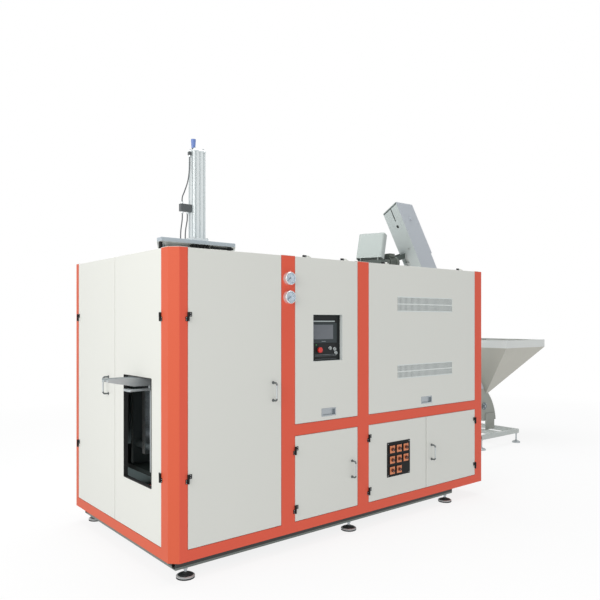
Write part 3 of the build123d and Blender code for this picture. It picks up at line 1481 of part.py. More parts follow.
casing_solids = [side_plate(feeder_y[0], elevator_top), side_plate(feeder_y[1] - side_sheet, rear_top),
                 cover(lower_edge, elevator_foot + side_sheet, outlet_z[0], 1),
                 part_cover(feeder_y[0] + side_sheet, outlet_y, outlet_z[0], outlet_z[1]),
                 head_cover.part, hood_cover.part, head_lid.part,
                 cover(upper_edge, hopper_mouth, hood_z, -1),
                 plate((upper_edge(hood_z) - upper_shift, feeder_y[0] + side_sheet, hood_z - side_sheet),
                       (hood_edge(hood_z), feeder_y[1] - side_sheet, hood_z)),
                 boot_cover.part,
                 plate((lower_edge(elevator_foot) + 2 * side_sheet, feeder_y[0] + side_sheet, elevator_foot),
                       (upper_edge(elevator_foot) - 2 * side_sheet, feeder_y[1] - side_sheet,
                        elevator_foot + side_sheet))]

# Sorter bin: a flat round-cornered box, open below, that is turned toward the left end and leans back
bin_turn = 21.0
bin_tip = 17.8
bin_wide = 300.0
bin_tall = 284.0
bin_deep = 96.0
bin_round = 24.0
sorter_sheet = 3.0
base_top_z = 2205.0
bin_right = Vector(sin(radians(bin_turn)), -cos(radians(bin_turn)), 0)
level_back = Vector(cos(radians(bin_turn)), sin(radians(bin_turn)), 0)
bin_up = level_back * sin(radians(bin_tip)) + Vector(0, 0, cos(radians(bin_tip)))
bin_drop = bin_deep * sin(radians(bin_tip))
bin_at = Vector(x_right - 27.0, y_rear - 178.0, base_top_z + bin_drop + seat_gap)
with BuildPart() as sorter_bin:
    with BuildSketch(Plane(origin=bin_at, x_dir=bin_right, z_dir=bin_up)):
        with Locations((0, bin_deep / 2)):
            RectangleRounded(bin_wide, bin_deep, bin_round)
    extrude(amount=bin_tall)
    with BuildSketch(Plane(origin=bin_at, x_dir=bin_right, z_dir=bin_up)):
        with Locations((0, bin_deep / 2)):
            RectangleRounded(bin_wide - 2 * sorter_sheet, bin_deep - 2 * sorter_sheet, bin_round - sorter_sheet)
    extrude(amount=bin_tall - sorter_sheet, mode=Mode.SUBTRACT)
casing_solids.append(sorter_bin.part)

# Two wedge feet hold the bin's tilt on the base
foot_out = 100.0
foot_thick = 8.0
foot_run = (8.0, 80.0)
for place in (-foot_out, foot_out):
    with BuildPart() as wedge:
        with BuildSketch(Plane(origin=bin_at + bin_right * place, x_dir=level_back, z_dir=bin_right)):
            with BuildLine():
                Polyline((foot_run[0], base_top_z - bin_at.Z), (foot_run[1], base_top_z - bin_at.Z),
                         (foot_run[1], -foot_run[1] * tan(radians(bin_tip))),
                         (foot_run[0], -foot_run[0] * tan(radians(bin_tip))), close=True)
            make_face()
        extrude(amount=foot_thick)
    casing_solids.append(wedge.part)

# Sorter base: a five-sided sheet box whose left side runs along under the bin, on two beams on the roof
beam_size = 40.0
beam_ys = (y_rear - 290.0, y_rear - 95.0)
sorter_right = x_right + 119.0
sorter_rear = y_rear + 8.0
base_z = cab_top + beam_size
near_corner = bin_at + bin_right * (bin_wide / 2)
far_corner = bin_at - bin_right * (bin_wide / 2)
sorter_corners = [(near_corner.X, near_corner.Y), (sorter_right, near_corner.Y), (sorter_right, sorter_rear),
                  (far_corner.X, sorter_rear), (far_corner.X, far_corner.Y)]
trough_y = (outlet_y + 4.0, feeder_y[1] - 8.0)
trough_z = (2110.0, 2280.0)
trough_wall = 60.0
trough_sheet = 2.0
trough_in = 8.0
trough_clear = 4.0
trough_end_x = lower_edge(trough_z[1] + trough_wall) - seat_gap / cos(radians(lean))
feed_hole_x = (feed_hole_at[0] - feed_hole[0] / 2, feed_hole_at[0] + feed_hole[0] / 2)
feed_hole_y = (feed_hole_at[1] - feed_hole[1] / 2, feed_hole_at[1] + feed_hole[1] / 2)
chute_x = (feed_hole_x[0] + 60.0, far_corner.X + 75.0)
chute_y = (feed_hole_y[0] + 15.0, feed_hole_y[1] - 15.0)
chute_z = (cab_top + 22.0, cab_top + 112.0)
chute_wall = 50.0


def sloped_trough(y_low, y_high, run, rise, wall):
    """An open trough of thin sheet between two places along x, its floor at two heights."""
    with BuildPart() as solid:
        add(bar("y", y_low, y_high, [(run[0], rise[0]), (run[1], rise[1]), (run[1], rise[1] + wall),
                                     (run[0], rise[0] + wall)]))
        add(bar("y", y_low + trough_sheet, y_high - trough_sheet,
                [(run[0], rise[0] + trough_sheet), (run[1], rise[1] + trough_sheet),
                 (run[1], rise[1] + wall + 1), (run[0], rise[0] + wall + 1)]), mode=Mode.SUBTRACT)
    return solid.part


with BuildPart() as sorter_base:
    with BuildSketch(Plane.XY.offset(base_z)):
        with BuildLine():
            Polyline(*sorter_corners, close=True)
        make_face()
        offset(amount=-sorter_sheet, kind=Kind.INTERSECTION, mode=Mode.SUBTRACT)
    extrude(amount=base_top_z - base_z)
    with BuildSketch(Plane.XY.offset(base_top_z - sorter_sheet)):
        with BuildLine():
            Polyline(*sorter_corners, close=True)
        make_face()
    extrude(amount=sorter_sheet)
    add(plate((sorter_right - 2 * trough_in, trough_y[0] - seat_gap, trough_z[0] - trough_clear),
              (sorter_right + 1.0, trough_y[1] + seat_gap, trough_z[0] + trough_wall + 2 * trough_clear)),
        mode=Mode.SUBTRACT)
    add(plate((far_corner.X, chute_y[0] - seat_gap, chute_z[0] + chute_wall),
              (near_corner.X, chute_y[1] + seat_gap, chute_z[1] + chute_wall + trough_clear)),
        mode=Mode.SUBTRACT)
casing_solids.append(sorter_base.part)
casing_solids.append(sloped_trough(trough_y[0], trough_y[1], (sorter_right - trough_in, trough_end_x), trough_z,
                                   trough_wall))
casing_solids.append(sloped_trough(chute_y[0], chute_y[1], chute_x, chute_z, chute_wall))
for y in beam_ys:
    casing_solids.append(plate((feed_hole_x[0] - beam_size, y, cab_top), (sorter_right - sorter_sheet, y + beam_size, base_z)))
feeder_casings = group("feeder_casings", casing_solids)
save(feeder_casings, "feeder_casings")

# Drums on through shafts
for name, (x, z) in (("elevator_foot_drum", foot_drum_at), ("elevator_head_drum", head_drum_at)):
    with BuildPart() as drum:
        add(rod("y", feeder_y[0] + side_sheet + 4.0, feeder_y[1] - side_sheet - 4.0, (x, z), drum_radius))
        add(rod("y", feeder_y[0] - shaft_out, feeder_y[1] + shaft_out, (x, z), drum_shaft))
    save(drum.part, name)

# Belt: an endless band round the drums with straight cleats across it
belt_in = drum_radius + belt_gap
belt_out = belt_in + belt_thick
belt_y = (feeder_y[0] + side_sheet + 6.0, feeder_y[1] - side_sheet - 6.0)
belt_plane = Plane(origin=(foot_drum_at[0], belt_y[0], foot_drum_at[1]),
                   x_dir=(lean_dir.X, 0, lean_dir.Z), z_dir=(0, 1, 0))
belt_run = (Vector(head_drum_at[0], 0, head_drum_at[1]) - Vector(foot_drum_at[0], 0, foot_drum_at[1])).length
belt_cleats = [((index + 0.5) * belt_run / (cleat_count / 2), side * (belt_out + cleat_tall / 2 - 1))
               for index in range(cleat_count // 2) for side in (-1, 1)]
with BuildPart() as elevator_belt:
    with BuildSketch(belt_plane):
        with Locations((belt_run / 2, 0)):
            SlotCenterToCenter(belt_run, 2 * belt_out)
            SlotCenterToCenter(belt_run, 2 * belt_in, mode=Mode.SUBTRACT)
        with Locations(*belt_cleats):
            Rectangle(cleat_thick, cleat_tall + 2)
    extrude(amount=belt_y[1] - belt_y[0])
save(elevator_belt.part, "elevator_belt")

# Hopper: a rim band and four slopes down to the mouth over the boot's open top
hopper_x = (x_right + hopper_reach - hopper_len, x_right + hopper_reach)
hopper_y = (y_rear + hopper_out - hopper_wide, y_rear + hopper_out)
hopper_sheet = 3.0
spout_x = (upper_edge(hopper_mouth) + 2 * hopper_sheet, boot_arc[2][0])
spout_y = feeder_y
band_low = hopper_rim - hopper_band


def hopper_solid(inset):
    """The hopper's filled form, drawn in from its outside by inset."""
    rim = Plane.XY.offset(band_low)
    with BuildPart() as solid:
        with BuildSketch(rim):
            with Locations(((hopper_x[0] + hopper_x[1]) / 2, (hopper_y[0] + hopper_y[1]) / 2)):
                Rectangle(hopper_len - 2 * inset, hopper_wide - 2 * inset)
        with BuildSketch(Plane.XY.offset(hopper_mouth)):
            with Locations(((spout_x[0] + spout_x[1]) / 2, (spout_y[0] + spout_y[1]) / 2)):
                Rectangle(spout_x[1] - spout_x[0] - 2 * inset, spout_y[1] - spout_y[0] - 2 * inset)
        loft()
        with BuildSketch(rim):
            with Locations(((hopper_x[0] + hopper_x[1]) / 2, (hopper_y[0] + hopper_y[1]) / 2)):
                Rectangle(hopper_len - 2 * inset, hopper_wide - 2 * inset)
        extrude(amount=hopper_band)
    return solid.part


with BuildPart() as hopper:
    add(hopper_solid(0))
    add(hopper_solid(hopper_sheet), mode=Mode.SUBTRACT)
save(hopper.part, "hopper")

# Gear motors: one on the foot drum's rear shaft end, one on the sorter base's right side
motor_radius = 62.0
motor_len = 190.0
sorter_motor_len = 150.0
gear_len = 90.0
gear_half = 60.0
sorter_drive_y = near_corner.Y + 100.0
sorter_drive_z = base_top_z - 10.0
sorter_gear_top = 25.0
motor_solids = []
with BuildPart() as foot_motor:
    add(plate((foot_drum_at[0] - gear_half, feeder_y[1], foot_drum_at[1] - gear_half),
              (foot_drum_at[0] + gear_half, feeder_y[1] + gear_len, foot_drum_at[1] + gear_half)))
    add(rod("y", feeder_y[1] + gear_len, feeder_y[1] + gear_len + motor_len, foot_drum_at, motor_radius))
    add(rod("y", feeder_y[1], feeder_y[1] + shaft_out + 2.0, foot_drum_at, drum_shaft + drum_clear),
        mode=Mode.SUBTRACT)
motor_solids.append(foot_motor.part)
with BuildPart() as sorter_motor:
    add(plate((sorter_right, sorter_drive_y - gear_half, sorter_drive_z - gear_half),
              (sorter_right + gear_len, sorter_drive_y + gear_half, sorter_drive_z + sorter_gear_top)))
    add(rod("x", sorter_right + gear_len, sorter_right + gear_len + sorter_motor_len,
            (sorter_drive_y, sorter_drive_z), motor_radius))
motor_solids.append(sorter_motor.part)
gear_motors = group("gear_motors", motor_solids)
save(gear_motors, "gear_motors")
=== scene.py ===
import json
import math
import bpy
import bmesh
import numpy as np
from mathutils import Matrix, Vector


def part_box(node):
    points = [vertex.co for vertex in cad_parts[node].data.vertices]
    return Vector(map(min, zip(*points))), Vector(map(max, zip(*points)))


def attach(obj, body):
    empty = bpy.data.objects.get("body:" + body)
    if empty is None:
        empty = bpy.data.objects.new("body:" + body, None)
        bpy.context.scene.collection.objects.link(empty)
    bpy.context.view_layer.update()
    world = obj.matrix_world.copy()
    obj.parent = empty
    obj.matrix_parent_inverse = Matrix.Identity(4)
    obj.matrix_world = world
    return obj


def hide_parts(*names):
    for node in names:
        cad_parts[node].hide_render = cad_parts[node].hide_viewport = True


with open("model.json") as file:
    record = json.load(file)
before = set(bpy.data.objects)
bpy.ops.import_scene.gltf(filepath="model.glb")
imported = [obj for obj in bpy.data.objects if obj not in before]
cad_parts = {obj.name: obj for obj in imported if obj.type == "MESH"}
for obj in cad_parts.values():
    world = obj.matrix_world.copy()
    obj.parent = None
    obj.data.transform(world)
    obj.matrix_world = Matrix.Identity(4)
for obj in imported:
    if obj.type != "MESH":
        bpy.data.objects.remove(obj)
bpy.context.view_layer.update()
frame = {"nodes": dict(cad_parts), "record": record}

# Places read off the CAD nodes, in metres: the cabinet's ends, its front and rear, the base and the roof
LEFT_X, FRONT_Y, CABINET_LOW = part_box("cabinet_frame")[0]
RIGHT_X, REAR_Y, CABINET_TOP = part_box("cabinet_frame")[1]
ROOF_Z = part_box("roof_panels")[1][2]
BASE_MID = (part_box("base_frame")[0][2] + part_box("base_frame")[1][2]) / 2
FRONT, REAR, LEFT, RIGHT, TOP, DOWN = (0, -1, 0), (0, 1, 0), (-1, 0, 0), (1, 0, 0), (0, 0, 1), (0, 0, -1)
PROUD = 0.0004
POST_WIDE = 0.0501


# Materials: nodes, boxes and finishes
def linear(code):
    """A written sRGB colour such as '#E0644A' as linear light, by the sRGB curve."""
    parts = [int(code[i:i + 2], 16) / 255 for i in (1, 3, 5)]
    return tuple(c / 12.92 if c <= 0.04045 else ((c + 0.055) / 1.055) ** 2.4 for c in parts) + (1.0,)


def node(tree, kind, inputs, **settings):
    """Adds one shader node with its settings; an input, by name or number, is a value or a node's output."""
    made = tree.nodes.new("ShaderNode" + kind)
    for key, value in settings.items():
        setattr(made, key, value)
    for key, value in inputs.items():
        if isinstance(value, bpy.types.NodeSocket):
            tree.links.new(value, made.inputs[key])
        else:
            made.inputs[key].default_value = value
    return made.outputs


def mask(tree, place, box, cell=None):
    """1 inside a box in metres, 0 outside; None leaves a side open, and cell repeats the box at its pitch."""
    if cell:
        place = node(tree, "VectorMath", {0: place, 1: cell[0], 2: cell[1]}, operation="WRAP")[0]
    split = node(tree, "SeparateXYZ", {0: place})
    inside = None
    for axis, sides in enumerate(box):
        for limit, rule in zip(sides, ("GREATER_THAN", "LESS_THAN")):
            if limit is None:
                continue
            test = node(tree, "Math", {0: split[axis], 1: limit}, operation=rule)[0]
            if inside is not None:
                test = node(tree, "Math", {0: inside, 1: test}, operation="MULTIPLY")[0]
            inside = test
    return inside


def within(x=(None, None), y=(None, None), z=(None, None)):
    """A box for mask, with each side that isn't named left open."""
    return x, y, z


def finish_shader(tree, place, colour, rough=0.5, metal=0.0, tone=0.04, tone_mm=400.0,
                  grain_mm=(2.0, 2.0, 2.0), rough_var=0.05, bump_mm=0.0, coat=0.0, shine=0.5):
    """One finish: a colour mottled by slow noise, a roughness varied by fine grain, a bump in millimetres."""
    base = linear(colour)[:3]
    slow = node(tree, "TexNoise", {"Vector": place, "Scale": 1000.0 / tone_mm, "Detail": 3.0})
    darker = tuple(c * (1 - tone) for c in base) + (1,)
    lighter = tuple(min(1, c * (1 + tone)) for c in base) + (1,)
    mottled = node(tree, "Mix", {0: slow[0], 6: darker, 7: lighter}, data_type="RGBA")
    finer = node(tree, "Mapping", {"Vector": place, "Scale": tuple(1000.0 / size for size in grain_mm)})
    grain = node(tree, "TexNoise", {"Vector": finer[0], "Scale": 1.0, "Detail": 2.0})
    spread = node(tree, "MapRange", {"Value": grain[0], "To Min": max(0.02, rough - rough_var),
                                     "To Max": min(1.0, rough + rough_var)})
    sockets = {"Base Color": mottled[2], "Roughness": spread[0], "Metallic": metal,
               "Specular IOR Level": shine, "Coat Weight": coat, "Coat Roughness": 0.12}
    if bump_mm:
        bump = node(tree, "Bump", {"Height": grain[0], "Strength": 1.0, "Distance": bump_mm / 1000.0})
        sockets["Normal"] = bump[0]
    return node(tree, "BsdfPrincipled", sockets)[0]


def material(name, base, *zones):
    """One base finish and further ones inside boxes; a zone is (box, finish) or (box, finish, cell)."""
    made = bpy.data.materials.new(name)
    made.use_nodes = True
    tree = made.node_tree
    tree.nodes.clear()
    place = node(tree, "TexCoord", {})["Object"]
    shader = finish_shader(tree, place, **base)
    for box, extra, *cell in zones:
        inside = mask(tree, place, box, *cell)
        shader = node(tree, "MixShader", {0: inside, 1: shader, 2: finish_shader(tree, place, **extra)})[0]
    node(tree, "OutputMaterial", {0: shader})
    return made


def in_slot(slot):
    """The CAD nodes that the record puts in a slot."""
    return [part["node"] for part in frame["record"]["subparts"] if part["material_slot"] == slot]


def dress(parts, name, base, *zones):
    """Gives the named CAD nodes one material in place of what they came with."""
    made = material(name, base, *zones)
    for part in parts:
        data = frame["nodes"][part].data
        data.materials.clear()
        data.materials.append(made)


# Powder coats: an even satin skin with a fine peel, which is drawn at 1.5 mm so that it shows
PEEL = dict(grain_mm=(1.5, 1.5, 1.5), bump_mm=0.03)
ORANGE = dict(PEEL, colour="#E9634D", rough=0.45, tone=0.03, tone_mm=900, shine=0.15)
CREAM = dict(PEEL, colour="#E3E4DE", rough=0.45, tone=0.015, tone_mm=1100, shine=0.4)
FEED_GREY = dict(PEEL, colour="#C4CDCC", rough=0.42, tone=0.04, tone_mm=500)
# Shaded copies of the feeder's grey, as painted shade: on the elevator's near side, low on the boot, and
# under the sorter's bin
SIDE_SHADE_GREY = dict(PEEL, colour="#B9BFC6", rough=0.42, tone=0.05, tone_mm=500)
LOW_SHADE_GREY = dict(FEED_GREY, colour="#9C9F97")
UNDER_BIN_SHADE = dict(colour="#4C5551", rough=0.5, tone=0.1, tone_mm=120)
# Enamels: brushed or dipped paint, a little uneven and half dull
BLACK = dict(colour="#131516", rough=0.5, tone=0.1, grain_mm=(1, 1, 1), bump_mm=0.03, shine=0.2)
ENAMEL = dict(rough=0.5, tone=0.08)
# Bare metals: clear mirror plating, and ground bars with fine lines along their length
CHROME = dict(colour="#D9DDDF", rough=0.1, metal=1.0, tone=0.01, rough_var=0.02)
LINES = (40, 0.6, 0.6)
STEEL = dict(colour="#A9AFB3", rough=0.32, metal=1.0, tone=0.05, tone_mm=120, grain_mm=LINES, rough_var=0.1)
# Rubber and plastic: dull and nearly black, the plastic with a moulded grain
RUBBER = dict(colour="#151617", rough=0.75, tone=0.1, tone_mm=30)
BLACK_PLASTIC = dict(colour="#1F2325", rough=0.48, tone=0.06, tone_mm=60, grain_mm=(0.8, 0.8, 0.8),
                     bump_mm=0.05)

# Cabinet: orange posts and rails, a browner orange on the left end, which the key lamp lights strongest
dress(in_slot("orange_paint"), "orange_powder_coat", ORANGE,
      (within(x=(None, LEFT_X + POST_WIDE)), dict(ORANGE, colour="#DB6346")))
# Doors: calm off-white sheets whose hinge leaves, just proud of the sheet, are black
dress(["blow_door", "pneumatic_door", "electrical_door_left", "electrical_door_right"],
      "cream_powder_coat_black_front_hinges", CREAM, (within(y=(None, FRONT_Y - PROUD)), BLACK))
dress(["end_door_front", "end_door_rear"],
      "cream_powder_coat_black_end_hinges", CREAM, (within(x=(None, LEFT_X - PROUD)), BLACK))
# Roof: the same coat with painted shade on its top face, darker and less glossy, so that it doesn't clip to
# white from above
dress(["roof_panels"], "roof_powder_coat_painted_shade_top", CREAM,
      (within(z=(ROOF_Z - 0.0005, None)), dict(CREAM, colour="#C9CAC3", shine=0.2)))
# Rear and right panels: cream outside, and on the inside faces a grey painted shade, which gives the window
# its dark depth
SHEET = 0.0015
INSIDE_SHADE = dict(colour="#87999A", rough=0.6, tone=0.03, shine=0.2)
dress(["fixed_panels"], "cream_outside_painted_shade_inside", CREAM,
      (within(x=(None, RIGHT_X - SHEET), y=(None, REAR_Y - SHEET)), INSIDE_SHADE))
# Flaps: cream with a bright pressed steel finger cup
CUP_Z, CUP_WIDE, CUP_TALL, CUP_OUT, CUP_IN = 0.910, 0.0685, 0.029, 0.01, 0.0185
for flap, cup_x in (("control_flap", LEFT_X + 1.236), ("oven_flap", LEFT_X + 2.316)):
    dress([flap], flap + "_powder_coat", CREAM,
          (within((cup_x - CUP_WIDE, cup_x + CUP_WIDE), (FRONT_Y - CUP_OUT, FRONT_Y + CUP_IN),
                  (CUP_Z - CUP_TALL, CUP_Z + CUP_TALL)), STEEL))
# Fixed hinge leaves on the posts and the roof: black enamel
dress(["fixed_hinges"], "black_enamel", BLACK)
# Base channels: dark green enamel, lighter where the floor lights the lower half
dress(in_slot("dark_paint"), "dark_green_enamel", dict(ENAMEL, colour="#6E7A76"),
      (within(z=(BASE_MID - 0.014, None)), dict(ENAMEL, colour="#2A312F")))
# Levelling feet: a rubber sole, a pale rim, a dark zinc cone and a ground stem; the stand's feet are pale
FOOT_ZINC = dict(rough=0.4, tone=0.05, tone_mm=60)
SOLE_TOP, RIM_LOW, RIM_TOP, CONE_TOP, STAND_FROM = 0.007, 0.011, 0.019, 0.036, 1.2
dress(in_slot("foot_metal"), "dark_zinc_and_rubber",
      dict(colour="#6B7071", rough=0.45, metal=0.5, tone=0.1, tone_mm=60),
      (within(z=(None, SOLE_TOP)), RUBBER), (within(z=(CONE_TOP, None)), STEEL),
      (within(z=(RIM_LOW, RIM_TOP)), dict(FOOT_ZINC, colour="#C4C7C8", metal=0.3)),
      (within(z=(RIM_TOP, CONE_TOP)), dict(FOOT_ZINC, colour="#3C4041", rough=0.45, metal=0.3, tone=0.08)),
      (within(x=(STAND_FROM, None)), dict(FOOT_ZINC, colour="#B9BFC2", metal=0.4)))
# Handles: satin grey rods with darker cast ends, brushed along their length
HANDLE = dict(colour="#C0C5C6", rough=0.42, metal=0.5, tone=0.05, tone_mm=50, grain_mm=(0.6, 0.6, 20))
HANDLE_END, END_TALL = dict(HANDLE, colour="#6A6F70"), 0.025
for handle in ("blow_door_handle", "pneumatic_door_handle", "electrical_door_handle", "end_door_handle"):
    low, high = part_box(handle)
    dress([handle], handle + "_satin_grey", HANDLE, (within(z=(high[2] - END_TALL, None)), HANDLE_END),
          (within(z=(None, low[2] + END_TALL)), HANDLE_END))
# Grilles: pale enamel on punched sheet
dress(["oven_vents"], "pale_vent_enamel", dict(colour="#E4EAE8", rough=0.5, tone=0.02))
# Regulators: a black plate with raised orange squares, repeated at the regulators' pitch
SQUARE_X, SQUARE_Z, PITCH_X, PITCH_Z = LEFT_X + 1.895, 0.394, 0.079, 0.082
SQUARE_HALF, SQUARE_PROUD, DEEP = 0.028, 0.0021, 10.0
SQUARE_CELL = ((SQUARE_X + PITCH_X / 2, DEEP, SQUARE_Z + PITCH_Z / 2),
               (SQUARE_X - PITCH_X / 2, -DEEP, SQUARE_Z - PITCH_Z / 2))
SQUARE = within((SQUARE_X - SQUARE_HALF, SQUARE_X + SQUARE_HALF), (None, FRONT_Y - SQUARE_PROUD),
                (SQUARE_Z - SQUARE_HALF, SQUARE_Z + SQUARE_HALF))
dress(["regulator_panel"], "black_plate_orange_regulators", BLACK,
      (SQUARE, dict(colour="#E68B5C", rough=0.4, tone=0.05), SQUARE_CELL))
dress(in_slot("brown_plastic"), "brown_knob_plastic",
      dict(colour="#5A2A1C", rough=0.5, tone=0.08, tone_mm=20))
# Gauges: bright steel cases, flat black needles
dress(["gauge_cases"], "gauge_case_bright_steel", dict(colour="#E4E8EA", rough=0.22, metal=0.6, tone=0.02))
dress(in_slot("needle_black"), "black_needle_enamel", dict(colour="#121212", rough=0.4))
# Console: a black enamelled box, a glossy red stop button, grey metal caps on the others
dress(["control_console"], "black_console_enamel", dict(colour="#15191A", rough=0.5, tone=0.05, shine=0.3))
dress(in_slot("red_plastic"), "red_mushroom_plastic", dict(colour="#DC2A20", rough=0.25, tone=0.03, coat=0.3))
for button in ("start_button", "reset_button", "light_button"):
    dress([button], button + "_grey_cap", dict(colour="#9BA2A1", rough=0.4, metal=0.3, tone=0.04, tone_mm=20))

# Clamp bay: a nearly black table and darkened clamp steel, both painted shade for the dim bay, bright rails,
# aluminium moulds with fine cutter lines
dress(["machine_bed"], "bed_enamel_painted_shade", dict(colour="#232A29", rough=0.55, tone=0.08, shine=0.2))
dress(in_slot("steel"), "ground_steel", STEEL)
dress(["clamp_frame"], "clamp_steel_painted_shade",
      dict(colour="#5C6566", rough=0.45, metal=0.6, tone=0.06, tone_mm=150))
dress(["transfer_rails"], "bright_rail_steel",
      dict(colour="#B7BEC0", rough=0.42, metal=0.4, tone=0.04, tone_mm=120, grain_mm=LINES, shine=0.4))
dress(in_slot("mould_metal"), "machined_aluminium",
      dict(colour="#B9BEC1", rough=0.28, metal=1.0, tone=0.04, tone_mm=90, grain_mm=(50, 0.5, 0.5),
           rough_var=0.08))
# Mast: anodised aluminium drawn upright, with grey fittings and a blue silencer
dress(in_slot("aluminium"), "anodised_aluminium",
      dict(colour="#DDE3E4", rough=0.38, metal=0.45, tone=0.03, tone_mm=150, grain_mm=(0.6, 0.6, 60),
           rough_var=0.08))
SILENCER_LOW = 2.741
dress(["mast_fittings"], "grey_fittings_blue_silencer", dict(BLACK_PLASTIC, colour="#55595B"),
      (within(z=(SILENCER_LOW, None)), dict(colour="#6C86C4", rough=0.4, tone=0.05)))
# Inside walls and lamps: zinc spangle about 25 mm across, polished lamp sheet
dress(in_slot("galvanised"), "galvanised_sheet",
      dict(colour="#9FA6A8", rough=0.4, metal=0.8, tone=0.12, tone_mm=25, grain_mm=(8, 8, 8), rough_var=0.12))
dress(in_slot("lamp_metal"), "polished_lamp_sheet",
      dict(colour="#CFD3D4", rough=0.22, metal=1.0, tone=0.04, tone_mm=150))

# Feeder: pale grey coat with painted shade: cooler and darker on the elevator's near side, greener and darker
# low down on the boot, darker on the sorter's bin, and dark grey under the bin and in the trough
FEED_Y = (FRONT_Y + 1.330, FRONT_Y + 1.575)
SORTER_BASE_Z, SORTER_RIGHT, SORTER_SHADE_TO = 2.2053, 0.425, 0.345
TROUGH = ((SORTER_SHADE_TO, 0.885), (0.554, 0.643), (2.09, 2.345))
ELEVATOR_FROM, LOW_SHADE_FROM, BOOT_TOP = 0.5, 1.2, 0.700
dress(in_slot("feeder_paint"), "feeder_grey_powder_coat_painted_shade", FEED_GREY,
      (within(x=(ELEVATOR_FROM, None), y=(None, FEED_Y[0] + SHEET)), SIDE_SHADE_GREY),
      (within(x=(LOW_SHADE_FROM, None), z=(None, BOOT_TOP)), LOW_SHADE_GREY),
      (within(x=(None, SORTER_RIGHT), z=(SORTER_BASE_Z, None)), dict(FEED_GREY, colour="#ACB4B1")),
      (within(x=(None, SORTER_SHADE_TO), z=(None, SORTER_BASE_Z)), UNDER_BIN_SHADE),
      (TROUGH, UNDER_BIN_SHADE))
# Stand: pale grey paint, and above its lowest part the boot's painted-shade grey
STAND_SHADE_FROM = 0.176
dress(in_slot("stand_paint"), "stand_pale_grey_paint_painted_shade",
      dict(colour="#C3C9C6", rough=0.45, tone=0.05, tone_mm=300), (within(z=(STAND_SHADE_FROM, None)), LOW_SHADE_GREY))
# Head drum: ground steel, its shaft's end capped in the side plates' painted-shade grey
dress(["elevator_head_drum"], "steel_drum_painted_shaft_cap", STEEL, (within(y=(None, FEED_Y[0])), SIDE_SHADE_GREY))
dress(in_slot("belt_rubber"), "pale_belt_rubber", dict(colour="#D5DAD8", rough=0.6, tone=0.05, tone_mm=80))
dress(in_slot("motor_paint"), "motor_grey_enamel", dict(colour="#5A615B", rough=0.42, tone=0.06, tone_mm=100))
# Hopper: stainless brushed downwards, soft and warm, with a paler rim band that catches the sky
BAND_LOW = 1.2205
dress(in_slot("stainless"), "brushed_stainless",
      dict(colour="#B9B8AF", rough=0.5, metal=0.25, tone=0.05, tone_mm=250, grain_mm=(0.8, 0.8, 45),
           rough_var=0.1),
      (within(z=(BAND_LOW, None)), dict(colour="#DADDDB", rough=0.45, metal=0.2, tone=0.03, tone_mm=250)))

# Finishes of the added pieces: rubber, zinc plate, mirror chrome, print, cast iron, tinted clear glass
rubber = material("black_seal_rubber", RUBBER)
black_plastic = material("black_moulded_parts", BLACK_PLASTIC)
zinc = material("bright_zinc_fasteners", dict(colour="#C2C6C8", rough=0.28, metal=1.0, tone=0.05, tone_mm=20))
chrome = material("chrome_collars", CHROME)
dial_white = material("white_dial_enamel", dict(colour="#F2F5F6", rough=0.4, tone=0.01))
print_black = material("printed_black_marks", dict(colour="#16181A", rough=0.5))
print_white = material("printed_white_marks", dict(colour="#EEEFEA", rough=0.5))
motor_grey = material("motor_fin_enamel", dict(colour="#50574F", rough=0.42, tone=0.06, tone_mm=60))
cast_grey = material("bearing_casting",
                     dict(colour="#6C757A", rough=0.5, tone=0.08, tone_mm=25, bump_mm=0.15))
glass = bpy.data.materials.new("clear_gauge_glass")
glass.use_nodes = True
clear = glass.node_tree.nodes["Principled BSDF"]
clear.inputs["Base Color"].default_value = linear("#C4E1F9")
clear.inputs["Roughness"].default_value = 0.03
clear.inputs["Alpha"].default_value = 0.16


# Surfaces: grids of points and the forms made from them
def grid_mesh(name, sheets):
    """One mesh from grids of points; each sheet is (points[i, j, xyz], wraps along i, wraps along j)."""
    verts, faces, start = [], [], 0
    for points, wrap_i, wrap_j in sheets:
        rows, cols = points.shape[:2]
        i = np.arange(rows if wrap_i else rows - 1)[:, None]
        j = np.arange(cols if wrap_j else cols - 1)[None, :]
        corner = [(i % rows) * cols + j % cols, ((i + 1) % rows) * cols + j % cols,
                  ((i + 1) % rows) * cols + (j + 1) % cols, (i % rows) * cols + (j + 1) % cols]
        faces.append(np.stack([c + start + 0 * (i + j) for c in corner], axis=-1).reshape(-1, 4))
        verts.append(points.reshape(-1, 3))
        start += rows * cols
    data = bpy.data.meshes.new(name)
    data.from_pydata(np.concatenate(verts).tolist(), [], np.concatenate(faces).tolist())
    work = bmesh.new()
    work.from_mesh(data)
    bmesh.ops.remove_doubles(work, verts=work.verts, dist=1e-6)
    bmesh.ops.dissolve_degenerate(work, edges=work.edges, dist=1e-7)
    bmesh.ops.recalc_face_normals(work, faces=work.faces)
    work.to_mesh(data)
    work.free()
    return data


def piece(name, sheets, body, made, sharp=40):
    """Puts one new piece into the scene: its mesh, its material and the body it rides."""
    data = grid_mesh(name, sheets)
    data.materials.append(made)
    data.shade_smooth()
    data.set_sharp_from_angle(angle=math.radians(sharp))
    made_object = bpy.data.objects.new(name, data)
    bpy.context.scene.collection.objects.link(made_object)
    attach(made_object, body)
    return made_object


def frame_of(axis, up=None):
    """Three unit vectors: two across an axis, and the axis."""
    axis = np.array(axis, float) / np.linalg.norm(axis)
    up = np.array(up if up is not None else ((0, 0, 1) if abs(axis[2]) < 0.9 else (1, 0, 0)), float)
    across = np.cross(up, axis)
    across /= np.linalg.norm(across)
    return across, np.cross(axis, across), axis


